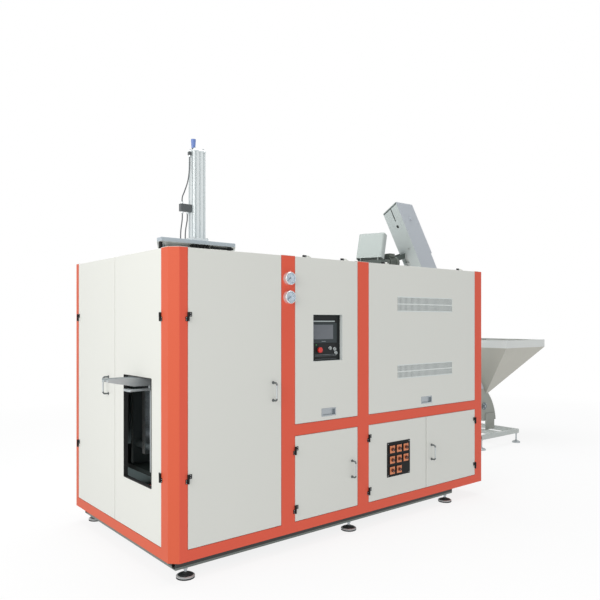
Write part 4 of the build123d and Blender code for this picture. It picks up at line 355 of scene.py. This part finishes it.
def around(centre, axis, turn, radius, height):
    """Each point is the centre, plus the radius times the turn's cosine and sine in the two directions
    across the axis, plus the height along the axis."""
    side, rise, ahead = frame_of(axis)
    out = (radius * np.cos(turn))[..., None] * side + (radius * np.sin(turn))[..., None] * rise
    return np.array(centre) + out + height[..., None] * ahead, True, False


def turned(centre, axis, profile, count=32):
    """A profile of (radius, height) in metres carried once round the axis."""
    turn = np.linspace(0, 2 * np.pi, count, endpoint=False)[:, None]
    radius, height = np.array(profile, float).T[:, None, :]
    return around(centre, axis, turn, radius, height + 0 * turn)


def turned_ring(centre, axis, bore, profile, count=32):
    """A turned ring: up its outer profile and back down its bore."""
    return turned(centre, axis, [(bore, 0), *profile, (bore, profile[-1][1]), (bore, 0)], count)


def ribbed(centre, axis, radius, depth, length, ribs, count=192):
    """A finned barrel, closed at both ends: the radius falls by the depth wherever a cosine with that many
    waves round, squared off by a hyperbolic tangent, is negative."""
    turn = np.linspace(0, 2 * np.pi, count, endpoint=False)[:, None]
    wave = 0.5 - 0.5 * np.tanh(3.0 * np.cos(ribs * turn))
    stations = (radius - depth * wave) * np.array([[0, 1, 1, 0]])
    return around(centre, axis, turn, stations, np.array([[0, 0, length, length]]) + 0 * stations)


def round_rectangle(wide, tall, corner, inset, steps):
    """A rectangle's outline drawn in by inset: each corner's centre plus its radius times cosine and sine."""
    radius = max(corner - inset, 0.0001)
    quarters = []
    for number, (sx, sy) in enumerate(((1, 1), (-1, 1), (-1, -1), (1, -1))):
        turn = np.linspace(0, np.pi / 2, steps) + number * np.pi / 2
        quarters.append(np.stack([sx * (wide / 2 - inset - radius) + radius * np.cos(turn),
                                  sy * (tall / 2 - inset - radius) + radius * np.sin(turn)], axis=1))
    return np.concatenate(quarters)


def slab(centre, normal, wide, tall, thick, corner=0.002, edge=0.0008, up=(0, 0, 1), steps=5):
    """A plate standing on its centre: a rounded rectangle carried up the normal, whose top edge is a quarter
    circle that draws the outline in by edge; closed to a point at both ends."""
    side, rise, ahead = frame_of(normal, up)
    bend = np.linspace(0, np.pi / 2, 4)
    stations = [(0.0, 0.0)] + [(edge * (1 - np.cos(b)), thick - edge * (1 - np.sin(b))) for b in bend]
    rings = [(round_rectangle(wide, tall, corner, inset, steps), height) for inset, height in stations]
    rings = [(rings[0][0] * 0, rings[0][1])] + rings + [(rings[-1][0] * 0, rings[-1][1])]
    points = np.stack([np.array(centre) + ring[:, :1] * side + ring[:, 1:] * rise + height * ahead
                       for ring, height in rings], axis=1)
    return points, True, False


def rim(centre, normal, wide, tall, corner, section, up=(0, 0, 1), steps=6):
    """A frame round a rounded rectangle: at each (inset, height) of the section the outline is drawn in by
    the inset and raised by the height along the normal; the section closes on itself."""
    side, rise, ahead = frame_of(normal, up)
    rings = [(round_rectangle(wide, tall, corner, inset, steps), height) for inset, height in section]
    points = np.stack([np.array(centre) + ring[:, :1] * side + ring[:, 1:] * rise + height * ahead
                       for ring, height in rings], axis=1)
    return points, True, True


def prism(outline, low, high, edge=0.0):
    """An upright solid on an outline of (x, y): the outline at low and at high less edge, then drawn in by
    edge towards its middle at high; closed to a point at both ends."""
    outline = np.array(outline, float)
    middle = outline.mean(axis=0)
    inward = (middle - outline) / np.linalg.norm(middle - outline, axis=1)[:, None]
    rings = [(0 * outline + middle, low), (outline, low), (outline, high - edge),
             (outline + edge * inward, high), (0 * outline + middle, high)]
    points = np.stack([np.column_stack([ring, np.full(len(outline), z)]) for ring, z in rings], axis=1)
    return points, True, False


def box_prism(x0, y0, x1, y1, low, high, edge=0.001):
    """The same solid on a rectangle."""
    return prism([(x0, y0), (x1, y0), (x1, y1), (x0, y1)], low, high, edge)


def post(x, y, low, high, radius, cut=0.001):
    """A round bar with a small chamfer at both ends."""
    tall = high - low
    return turned((x, y, low), TOP, [(0, 0), (radius - cut, 0), (radius, cut), (radius, tall - cut),
                                     (radius - cut, tall), (0, tall)], 24)


def mark(spot, angle, reach, wide, long, thick, corner=0.0002, edge=0.00005, steps=2):
    """A thin printed bar that points outwards from spot at an angle in degrees, its middle at reach."""
    way = np.array((math.cos(math.radians(angle)), 0, math.sin(math.radians(angle))))
    return slab(spot + way * reach, FRONT, wide, long, thick, corner, edge, up=tuple(way), steps=steps)


def screw_head(centre, normal, radius=0.004):
    """A domed screw head with a round recess, turned about its normal, with sizes in parts of its radius."""
    dome = ((0, 0), (1, 0), (1, 0.35), (0.85, 0.62), (0.55, 0.75), (0.5, 0.75), (0.47, 0.3), (0, 0.3))
    return turned(centre, normal, [(radius * out, radius * up) for out, up in dome], count=12)


def hex_nut(centre, normal, across=0.016, tall=0.008):
    """A hexagonal nut with a chamfered top: six stations round, a profile of four heights."""
    corner = across / math.sqrt(3)
    profile = [(0, 0), (corner, 0), (corner, 0.8 * tall), (0.88 * corner, tall), (0, tall)]
    return turned(centre, normal, profile, count=6)


def bolt(centre, normal, across, washer=0.0018):
    """A hexagon head with a washer under it."""
    out = 0.9 * across
    return [turned(centre, normal, [(0, 0), (out, 0), (out, washer), (0, washer)], count=20),
            hex_nut(np.array(centre) + washer * np.array(normal, float), normal, across, 0.5 * across)]


# Window seal round the opening in the end door
WINDOW_Y, WINDOW_LOW, WINDOW_HIGH, WINDOW_WIDE = FRONT_Y + 0.469, 0.518, 1.199, 0.408
SEAL_OVER, SEAL_DEEP, SEAL_CORNER = 0.004, -0.026, 0.006
seal = [(0.0, 0.0004), (0.0, 0.002), (0.001, 0.003), (0.004, 0.003), (0.0055, 0.002), (0.0055, SEAL_DEEP),
        (0.0025, SEAL_DEEP), (0.0025, 0.0004)]
piece("window_seal", [rim((LEFT_X, WINDOW_Y, (WINDOW_LOW + WINDOW_HIGH) / 2), LEFT, WINDOW_WIDE + SEAL_OVER,
                          WINDOW_HIGH - WINDOW_LOW + SEAL_OVER, SEAL_CORNER, seal)],
      "end_door_front", rubber)

# Stretch plate: its rear left corner cut back as the photograph shows, on four posts, with rods and valves
PLATE_Y, PLATE_LOW, PLATE_TOP = FRONT_Y + 0.267, 2.060, 2.085
MAST_X, MAST_Y = LEFT_X + 0.439, FRONT_Y + 0.470
BRIDGE_LOW, BRIDGE_TOP, BRIDGE_WIDE, BRIDGE_DEEP, ROD_OUT = 1.450, 1.480, 0.292, 0.060, 0.262
PLATE_OUTLINE = ((0.069, 0), (0.620, 0), (0.735, 0.180), (0.735, 0.413), (0.251, 0.413), (0.069, 0.063))
PLATE_POSTS = ((0.084, 0.040), (0.585, 0.025), (0.700, 0.380), (0.290, 0.380))
VALVES, VALVE_X, VALVE_PITCH, VALVE_WIDE, VALVE_LOW = 5, LEFT_X + 0.300, 0.026, 0.020, 2.020
VALVE_FRONT, VALVE_REAR = PLATE_Y + 0.010, PLATE_Y + 0.055
AIR_BAR = (LEFT_X + 0.445, VALVE_FRONT, LEFT_X + 0.610, PLATE_Y + 0.035, 2.040, 2.052)
plate_parts = [prism([(LEFT_X + x, PLATE_Y + y) for x, y in PLATE_OUTLINE], PLATE_LOW, PLATE_TOP, 0.003)]
plate_parts += [post(LEFT_X + x, PLATE_Y + y, ROOF_Z, PLATE_LOW, 0.012) for x, y in PLATE_POSTS]
plate_parts += [post(MAST_X + way * ROD_OUT, MAST_Y, BRIDGE_TOP, PLATE_LOW, 0.015) for way in (-1, 1)]
plate_parts.append(box_prism(MAST_X - BRIDGE_WIDE, MAST_Y - BRIDGE_DEEP,
                             MAST_X + BRIDGE_WIDE, MAST_Y + BRIDGE_DEEP, BRIDGE_LOW, BRIDGE_TOP))
for step in range(VALVES):
    left = VALVE_X + step * VALVE_PITCH
    plate_parts.append(box_prism(left, VALVE_FRONT, left + VALVE_WIDE, VALVE_REAR, VALVE_LOW, PLATE_LOW))
plate_parts.append(box_prism(*AIR_BAR))
plate_parts += [post(LEFT_X + x, PLATE_Y + 0.022, 2.050, PLATE_LOW, 0.004) for x in (0.455, 0.600)]
# Its finish: pale painted plate, black valves under it, ground steel rods below the roof, and on the
# underside a paler painted reflection of the light from the roof below
plate_paint = material("pale_plate_black_valves_painted_underside_light",
                       dict(colour="#B4BEC6", rough=0.5, tone=0.04, tone_mm=200, metal=0.1, shine=0.3),
                       (within(y=(None, PLATE_Y + 0.060), z=(None, PLATE_LOW - 0.0001)), BLACK),
                       (within(y=(FRONT_Y + 0.4, FRONT_Y + 0.55), z=(None, 2.0)), STEEL),
                       (within(y=(PLATE_Y + 0.002, None), z=(PLATE_LOW - 0.0005, PLATE_LOW + 0.0005)),
                        dict(colour="#EEF1F2", rough=0.5, tone=0.02)))
stretch_plate = piece("stretch_plate_cut_back", plate_parts, "machine", plate_paint)
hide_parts("stretch_plate")

# Gauges: dial plate, printed scale, lens
GAUGE_X, DIAL_Y, DIAL_THICK = LEFT_X + 0.86965, FRONT_Y - 0.0142, 0.0009
SCALE_START, SCALE_SWEEP, SCALE_STEPS, SCALE_OUTER = 225, 270, 50, 0.0335
DIAL = [(0.0386, 0), (0.0386, 0.0006), (0.0384, DIAL_THICK)]
LENS = [(0, 0.0125), (0.0388, 0.0125), (0.0388, 0.0135), (0.035, 0.0148), (0.02, 0.0165), (0, 0.0172)]
for number, height in ((1, 1.843), (2, 1.717)):
    centre = np.array((GAUGE_X, DIAL_Y, height))
    dial = turned_ring(centre, FRONT, 0.0022, DIAL, 48)
    piece("gauge_dial_%d" % number, [dial], "machine", dial_white)
    marks = []
    for step in range(SCALE_STEPS + 1):
        inner, wide = (0.0285, 0.0011) if step % 5 == 0 else (0.0305, 0.0005)
        angle = SCALE_START - SCALE_SWEEP * step / SCALE_STEPS
        marks.append(mark(centre + np.array(FRONT) * DIAL_THICK, angle, (inner + SCALE_OUTER) / 2, wide,
                          SCALE_OUTER - inner, 0.00012, edge=0.00004))
    piece("gauge_scale_%d" % number, marks, "machine", print_black)
    piece("gauge_lens_%d" % number, [turned(centre, FRONT, LENS, 48)], "machine", glass)

# Console: bezel, screen glass, shelf, folded return, pilot lens, collars and legend strips
CONSOLE_X, CONSOLE_Z, CONSOLE_Y = LEFT_X + 1.229, 1.438, FRONT_Y + 0.030
BEZEL_X, BEZEL_Y, BEZEL_Z = CONSOLE_X - 0.012, CONSOLE_Y - 0.0041, 1.472
BEZEL_WIDE, BEZEL_TALL, BEZEL_THICK = 0.238, 0.143, 0.0015
SCREEN_X, SCREEN_Y, SCREEN_Z = CONSOLE_X - 0.0245, BEZEL_Y - BEZEL_THICK, 1.479
SCREEN_WIDE, SCREEN_TALL, SCREEN_THICK = 0.188, 0.103, 0.0012
SHELF_X, SHELF_Z, SHELF_WIDE, SHELF_TALL, SHELF_OUT = CONSOLE_X - 0.020, 1.5545, 0.208, 0.010, 0.006
RETURN_Y, RETURN_WIDE, RETURN_TALL, RETURN_CORNER = FRONT_Y - 0.0008, 0.279, 0.329, 0.0025
# Graphite moulding: dull, a little lighter than the console's black
graphite = material("graphite_screen_bezel",
                    dict(colour="#333C3F", rough=0.4, tone=0.04, tone_mm=60, shine=0.3))
piece("console_bezel", [slab((BEZEL_X, BEZEL_Y, BEZEL_Z), FRONT, BEZEL_WIDE, BEZEL_TALL, BEZEL_THICK,
                             corner=0.005, edge=0.0006)],
      "machine", graphite)
# Dimmed glass: a grey sheet under a clear, glossy coat
screen_grey = material("dimmed_screen_glass",
                       dict(colour="#5D636B", rough=0.12, tone=0.03, tone_mm=60, coat=0.6))
piece("console_screen", [slab((SCREEN_X, SCREEN_Y, SCREEN_Z), FRONT, SCREEN_WIDE, SCREEN_TALL, SCREEN_THICK,
                              corner=0.003, edge=0.0005)],
      "machine", screen_grey)
# A half-bright metal strip over the screen
shelf_grey = material("pale_shelf_strip", dict(colour="#A3ACAD", rough=0.35, metal=0.4, tone=0.03))
piece("console_shelf", [slab((SHELF_X, BEZEL_Y, SHELF_Z), FRONT, SHELF_WIDE, SHELF_TALL, SHELF_OUT,
                             corner=0.002, edge=0.001)],
      "machine", shelf_grey)
# The flap's folded return: its own cream coat, a little greyer in the fold as painted shade
RETURN_THICK, RETURN_FRONT, RETURN_BACK = 0.0018, -0.0005, -0.0265
return_fold = [(0.0, RETURN_FRONT), (RETURN_THICK, RETURN_FRONT), (RETURN_THICK, RETURN_BACK),
               (0.0, RETURN_BACK)]
piece("console_return", [rim((CONSOLE_X, RETURN_Y, CONSOLE_Z), FRONT, RETURN_WIDE, RETURN_TALL, RETURN_CORNER,
                             return_fold, steps=3)],
      "control_flap", material("shaded_cream_fold", dict(CREAM, colour="#D3D9D7")))
# A glossy green lens beside the buttons
pilot_green = material("green_pilot_lens", dict(colour="#2C7A3F", rough=0.25, tone=0.02, coat=0.3))
piece("console_pilot_lens", [turned((LEFT_X + 1.142, CONSOLE_Y, 1.388), FRONT,
                                    [(0, 0), (0.006, 0), (0.006, 0.002), (0.0045, 0.0036), (0, 0.0042)], 24)],
      "machine", pilot_green)
COLLAR = [(0.0138, 0), (0.0138, 0.0026), (0.0128, 0.0038)]
BUTTONS = ((1.275, 1.362), (1.318, 1.355), (1.330, 1.327))
piece("button_collars", [turned_ring((LEFT_X + x, CONSOLE_Y, z), FRONT, 0.0116, COLLAR) for x, z in BUTTONS],
      "machine", chrome)
STOP_COLLAR = [(0.0240, 0), (0.0240, 0.0016), (0.0230, 0.0026)]
piece("stop_collar", [turned_ring((LEFT_X + 1.170, CONSOLE_Y, 1.352), FRONT, 0.0208, STOP_COLLAR, 40)],
      "machine", black_plastic)
# Legend strips: matt grey plastic bars, as (x, y, z, width, height)
legend = material("grey_legend_strips", dict(colour="#8B9296", rough=0.45, tone=0.03))
STRIPS = ((0.004, CONSOLE_Y, 1.3165, 0.2, 0.0022), (0.004, CONSOLE_Y, 1.3075, 0.205, 0.0014),
          (0.004, CONSOLE_Y, 1.285, 0.205, 0.0018), (-0.02, SCREEN_Y, 1.412, 0.04, 0.004))
piece("console_legend_strips", [slab((CONSOLE_X + dx, y, z), FRONT, wide, tall, 0.0008, 0.0005, 0.0002)
                                for dx, y, z, wide, tall in STRIPS], "machine", legend)

# Regulators: a printed scale on each, a white pointer on each knob, screws in the plate's corners
MIDDLE_X, MIDDLE_Z = LEFT_X + 1.974, 0.476
KNOB_FACE, TICK_OUT, POINTER_OUT = 0.0153, 0.0195, 0.0075
marks = []
for number in range(8):
    column, row = (-1, 0, 1)[number % 3], (1, 0, -1)[number // 3]
    spot = np.array((MIDDLE_X + column * PITCH_X, FRONT_Y - 0.008, MIDDLE_Z + row * PITCH_Z))
    for step in range(11):
        marks.append(mark(spot, SCALE_START - SCALE_SWEEP * step / 10, TICK_OUT, 0.0009, 0.005, 0.00015))
    knob_face = spot + np.array(FRONT) * KNOB_FACE
    pointer = mark(knob_face, SCALE_START, POINTER_OUT, 0.0014, 0.009, 0.0004, 0.0005, 0.0001, steps=3)
    piece("knob_pointer_%d" % (number + 1), [pointer], "regulator_knob_%d" % (number + 1),
          print_white)
piece("regulator_scales", marks, "electrical_door_left", print_black)
SCREW_X, SCREW_Y, SCREW_Z = (LEFT_X + 1.851, LEFT_X + 2.096), FRONT_Y - 0.002, (0.356, 0.603)
corner_screws = [screw_head((x, SCREW_Y, z), FRONT, 0.0035) for x in SCREW_X for z in SCREW_Z]
piece("regulator_plate_screws", corner_screws, "electrical_door_left", zinc)

# Hinge screws: two in each leaf, beside the doors' seams at the hinges' heights, and along the flaps' top
BAY1, BAY2, POST3, BAY3, BAY3_END = (LEFT_X + v for v in (0.105, 0.9267, 1.5258, 1.639, 2.983))
END_SEAM, END_STOP = FRONT_Y + 0.1345, REAR_Y - 0.047
TALL, LOW = (1.583, 0.612), (0.674, 0.275)
LEAF_LIFT, LEAF_OUT, LEAF_IN, LEAF_THICK = 0.01365, 0.0175, 0.0105, 0.0025
PIN_OUT, SCREW_GAP, HINGE_SCREW = 0.0015, 0.0065, 0.0028
DOORS = (("blow_door", FRONT, BAY1, 1, TALL), ("pneumatic_door", FRONT, BAY2, 1, LOW),
         ("electrical_door_left", FRONT, BAY3, 1, LOW), ("electrical_door_right", FRONT, BAY3_END, -1, LOW),
         ("end_door_front", LEFT, END_SEAM, 1, TALL), ("end_door_rear", LEFT, END_STOP, -1, TALL))
fixed_screws = []
for body, side, seam, turn, heights in DOORS:
    door_screws = []
    leaves = ((turn * LEAF_OUT, LEAF_LIFT, door_screws), (-turn * LEAF_IN, -LEAF_LIFT, fixed_screws))
    for height in heights:
        for dz in (-SCREW_GAP, SCREW_GAP):
            for shift, lift, store in leaves:
                along, z = seam + turn * PIN_OUT + shift, height + lift + dz
                spot = (along, FRONT_Y - LEAF_THICK, z) if side == FRONT else (LEFT_X - LEAF_THICK, along, z)
                store.append(screw_head(spot, side, HINGE_SCREW))
    piece(body + "_hinge_screws", door_screws, body, zinc)
FLAP_PIN_Y, FLAP_LEAF_OUT, LEAF_TOP = FRONT_Y + 0.0265, 0.0155, ROOF_Z + LEAF_THICK
FLAPS = (("control_flap", (BAY2 + 0.120, POST3 - 0.120)), ("oven_flap", (BAY3 + 0.200, BAY3_END - 0.200)))
for body, stations in FLAPS:
    door_screws = []
    leaves = ((-LEAF_LIFT, -FLAP_LEAF_OUT, door_screws), (LEAF_LIFT, LEAF_IN, fixed_screws))
    for x in stations:
        for dx in (-SCREW_GAP, SCREW_GAP):
            for lift, y, store in leaves:
                store.append(screw_head((x + lift + dx, FLAP_PIN_Y + y, LEAF_TOP), TOP, HINGE_SCREW))
    piece(body + "_hinge_screws", door_screws, body, zinc)
piece("fixed_hinge_screws", fixed_screws, "machine", zinc)

# Elevator: flange bearings on the shafts and screws along the side plates
LEAN, BOOT_X, BOOT_Z = math.radians(32.5), LEFT_X + 5.064, 0.290
DRUM_LOW, DRUM_HIGH, DRUM_ACROSS = 0.150, 2.790, 0.115
SIDE_SCREWS, SCREW_FIRST, SCREW_PITCH, SCREW_ACROSS = 9, 0.45, 0.28, (0.018, 0.212)
BEARING_BOLT, FLANGE_THICK, SHAFT_BORE = 0.025, 0.009, 0.0153


def on_side(along, across):
    """A place (x, z) on the elevator's side: along the lean from the boot's corner, and across it."""
    return (BOOT_X - along * math.sin(LEAN) + across * math.cos(LEAN),
            BOOT_Z + along * math.cos(LEAN) + across * math.sin(LEAN))


FLANGE = [(0.045, 0), (0.045, FLANGE_THICK), (0.031, 0.012), (0.028, 0.021), (0.0235, 0.023)]
bearings, bearing_bolts, side_screws = [], [], []
for along, y, way in ((DRUM_LOW, FEED_Y[0], FRONT), (DRUM_HIGH, FEED_Y[1], REAR)):
    x, z = on_side(along, DRUM_ACROSS)
    bearings.append(turned_ring((x, y, z), way, SHAFT_BORE, FLANGE, 40))
    for sx, sz in ((1, 1), (-1, 1), (-1, -1), (1, -1)):
        spot = (x + sx * BEARING_BOLT, y + way[1] * FLANGE_THICK, z + sz * BEARING_BOLT)
        bearing_bolts += bolt(spot, way, 0.010)
    for across in SCREW_ACROSS:
        for step in range(SIDE_SCREWS):
            x, z = on_side(SCREW_FIRST + step * SCREW_PITCH, across)
            side_screws.append(screw_head((x, y, z), way, 0.005))
piece("elevator_bearings", bearings, "machine", cast_grey)
piece("elevator_bearing_bolts", bearing_bolts, "machine", zinc)
piece("elevator_side_screws", side_screws, "machine", zinc)

# Gear motors: finned barrels, fan covers and terminal boxes over the plain drive forms
foot_x, foot_z = on_side(DRUM_LOW, DRUM_ACROSS)
COVER_LONG, FAN_LONG, BARREL, RIB_DEEP, RIBS = 0.012, 0.050, 0.0665, 0.0075, 26
BOX_FOOT, BOX_WIDE, BOX_TALL = 0.060, 0.085, 0.036
FRONT_COVER = [(0, 0), (0.068, 0), (0.068, COVER_LONG), (0, COVER_LONG)]
FAN_COVER = [(0, 0), (0.0675, 0), (0.0675, 0.038), (0.064, 0.046), (0.05, 0.0495), (0, 0.0505)]
MOTORS = (("elevator_motor", (foot_x, FEED_Y[1] + 0.090, foot_z), REAR, (1, 0, 0), 0.190),
          ("sorter_motor", (LEFT_X + 3.290, FRONT_Y + 1.34896, 2.195), RIGHT, (0, -1, 0), 0.150))
for name, face, axis, side, length in MOTORS:
    centre, way = np.array(face), np.array(axis, float)
    barrel = ribbed(centre + way * COVER_LONG, axis, BARREL, RIB_DEEP, length - FAN_LONG - COVER_LONG, RIBS)
    piece(name + "_fins", [barrel], "machine", motor_grey)
    box_foot = centre + way * (length / 2 - 0.023) + np.array((0, 0, BOX_FOOT))
    terminal_box = slab(box_foot, TOP, BOX_WIDE, BOX_WIDE, BOX_TALL, corner=0.006, edge=0.002, up=side)
    piece(name + "_covers", [turned(centre, axis, FRONT_COVER, 48),
                             turned(centre + way * (length - FAN_LONG), axis, FAN_COVER, 48), terminal_box],
          "machine", motor_grey)

# Mast: flange bolts, tie-rod nuts on the end cap, hose ferrules
FLANGE_TOP, CAP_TOP, BOLT_X, BOLT_Y, NUT_X, NUT_Y = 2.120, 2.731, 0.0515, 0.0445, 0.033, 0.026
mast_bolts = []
for sx in (-1, 1):
    for sy in (-1, 1):
        mast_bolts += bolt((MAST_X + sx * BOLT_X, MAST_Y + sy * BOLT_Y, FLANGE_TOP), TOP, 0.011)
        mast_bolts.append(hex_nut((MAST_X + sx * NUT_X, MAST_Y + sy * NUT_Y, CAP_TOP), TOP, 0.014, 0.009))
piece("mast_bolts", mast_bolts, "machine", zinc)
MAST_LEFT, HOSE_BORE = MAST_X - 0.047, 0.0045
HOSE_END = [(0.0075, 0), (0.0075, 0.012), (0.0062, 0.016)]
PLATE_END = [(0.009, 0), (0.009, 0.012), (0.0065, 0.018)]
FERRULES = ((0.010, 2.690, DOWN, HOSE_END), (0.068, 2.350, TOP, HOSE_END),
            (0.066, 2.300, DOWN, HOSE_END), (0.028, 2.300, DOWN, HOSE_END),
            (0.079, PLATE_TOP, TOP, PLATE_END), (0.044, PLATE_TOP, TOP, PLATE_END))
# Each ferrule: how far out from the mast's left face, its height, the way it points, its profile
piece("hose_ferrules", [turned_ring((MAST_LEFT - out, MAST_Y, height), way, HOSE_BORE, profile, 20)
                        for out, height, way, profile in FERRULES], "machine", zinc)

# Hopper: a rolled wire edge round the rim
HOPPER_LONG, HOPPER_DEEP, HOPPER_TOP, HOPPER_CORNER = 0.892, 0.900, 1.315, 0.008
WIRE, ROLL_IN, ROLL_DOWN = 0.0055, 0.006, 0.0058
HOPPER_X, HOPPER_Y = LEFT_X + 5.953 - HOPPER_LONG / 2, FRONT_Y + 1.900 - HOPPER_DEEP / 2
turn = np.linspace(0, 2 * np.pi, 12, endpoint=False)
roll = [(ROLL_IN - WIRE * math.cos(t), -ROLL_DOWN + WIRE * math.sin(t)) for t in turn]
rolled = rim((HOPPER_X, HOPPER_Y, HOPPER_TOP), TOP, HOPPER_LONG, HOPPER_DEEP, HOPPER_CORNER, roll, up=REAR)
# Brushed like the sheet but paler, since the roll faces the light
rolled_steel = material("rolled_stainless_edge", dict(colour="#D2D5D3", rough=0.4, metal=0.4, tone=0.05))
piece("hopper_rolled_edge", [rolled], "machine", rolled_steel)

# Right front corner: the fold that squares the corner post's front to its right face, in the post's own coat
BEND = 0.003
turn = np.linspace(0, np.pi / 2, 5)
bend = np.stack([RIGHT_X - BEND + BEND * np.sin(turn), FRONT_Y + BEND - BEND * np.cos(turn)], axis=1)
fold = np.concatenate([[[RIGHT_X - POST_WIDE, FRONT_Y]], bend, [[RIGHT_X, FRONT_Y + POST_WIDE]]])
piece("right_corner_fold", [prism(fold, CABINET_LOW, CABINET_TOP)], "machine",
      material("orange_powder_coat_fold", ORANGE))

# Camera: the photograph's viewpoint, solved from the cabinet's edges
scene = bpy.context.scene
lens = bpy.data.cameras.new("camera")
lens.lens = 37.35
lens.sensor_width = 36.0
lens.shift_y = 0.035
camera = bpy.data.objects.new("camera", lens)
camera.location = (-4.60046, -4.22314, 1.55683)
camera.rotation_euler = (math.radians(90), 0, math.radians(-39.34))
scene.collection.objects.link(camera)
scene.camera = camera
scene.view_settings.view_transform = "Standard"

# World: soft cool light on the object, white to the camera and in gloss and glass
world = bpy.data.worlds.new("studio")
world.use_nodes = True
scene.world = world
tree = world.node_tree
tree.nodes.clear()
path = node(tree, "LightPath", {})
seen = node(tree, "Math", {0: path["Is Camera Ray"], 1: path["Is Glossy Ray"]}, operation="MAXIMUM")[0]
seen = node(tree, "Math", {0: seen, 1: path["Is Transmission Ray"]}, operation="MAXIMUM")[0]
SKY, WHITE = (0.96, 0.99, 1.0, 1), (1, 1, 1, 1)
soft = node(tree, "Background", {"Color": SKY, "Strength": 0.38})[0]
white = node(tree, "Background", {"Color": WHITE, "Strength": 1.0})[0]
node(tree, "OutputWorld", {0: node(tree, "MixShader", {0: seen, 1: soft, 2: white})[0]})


def lamp(name, place, aim, size, power, colour):
    """A soft square lamp at place, pointed at aim; its power is in watts and its colour in linear light."""
    light = bpy.data.lights.new(name, "AREA")
    light.shape = "SQUARE"
    light.size = size
    light.energy = power
    light.color = colour
    made = bpy.data.objects.new(name, light)
    made.location = place
    made.rotation_euler = (Vector(aim) - Vector(place)).to_track_quat("-Z", "Y").to_euler()
    scene.collection.objects.link(made)


lamp("key", (-8.0, -2.6, 3.4), (-2.0, -0.3, 1.0), 4.0, 192, (1, 0.985, 0.96))
lamp("top", (-1.0, 0.9, 7.0), (-1.0, 0.0, 0.0), 6.0, 430, (0.98, 0.99, 1))

# Floor: pale matte paint that keeps the shadow and fades into the white background
REACH, FADE_FROM, FADE_TO, GLOW_NEAR = 40.0, 2.0, 8.0, 0.84
floor_data = bpy.data.meshes.new("floor")
corners = [(-REACH, -REACH, 0), (REACH, -REACH, 0), (REACH, REACH, 0), (-REACH, REACH, 0)]
floor_data.from_pydata(corners, [], [(0, 1, 2, 3)])
floor_paint = bpy.data.materials.new("pale_studio_floor")
floor_paint.use_nodes = True
tree = floor_paint.node_tree
tree.nodes.clear()
matte = node(tree, "BsdfDiffuse", {"Color": linear("#F8F8F8")})[0]
glow = node(tree, "Emission", {"Color": WHITE, "Strength": 1.0})[0]
away = node(tree, "VectorMath", {0: node(tree, "TexCoord", {})["Object"]}, operation="LENGTH")["Value"]
fade = node(tree, "MapRange", {"Value": away, "From Min": FADE_FROM, "From Max": FADE_TO,
                               "To Min": GLOW_NEAR})[0]
node(tree, "OutputMaterial", {0: node(tree, "MixShader", {0: fade, 1: matte, 2: glow})[0]})
floor_data.materials.append(floor_paint)
floor = bpy.data.objects.new("floor", floor_data)
scene.collection.objects.link(floor)
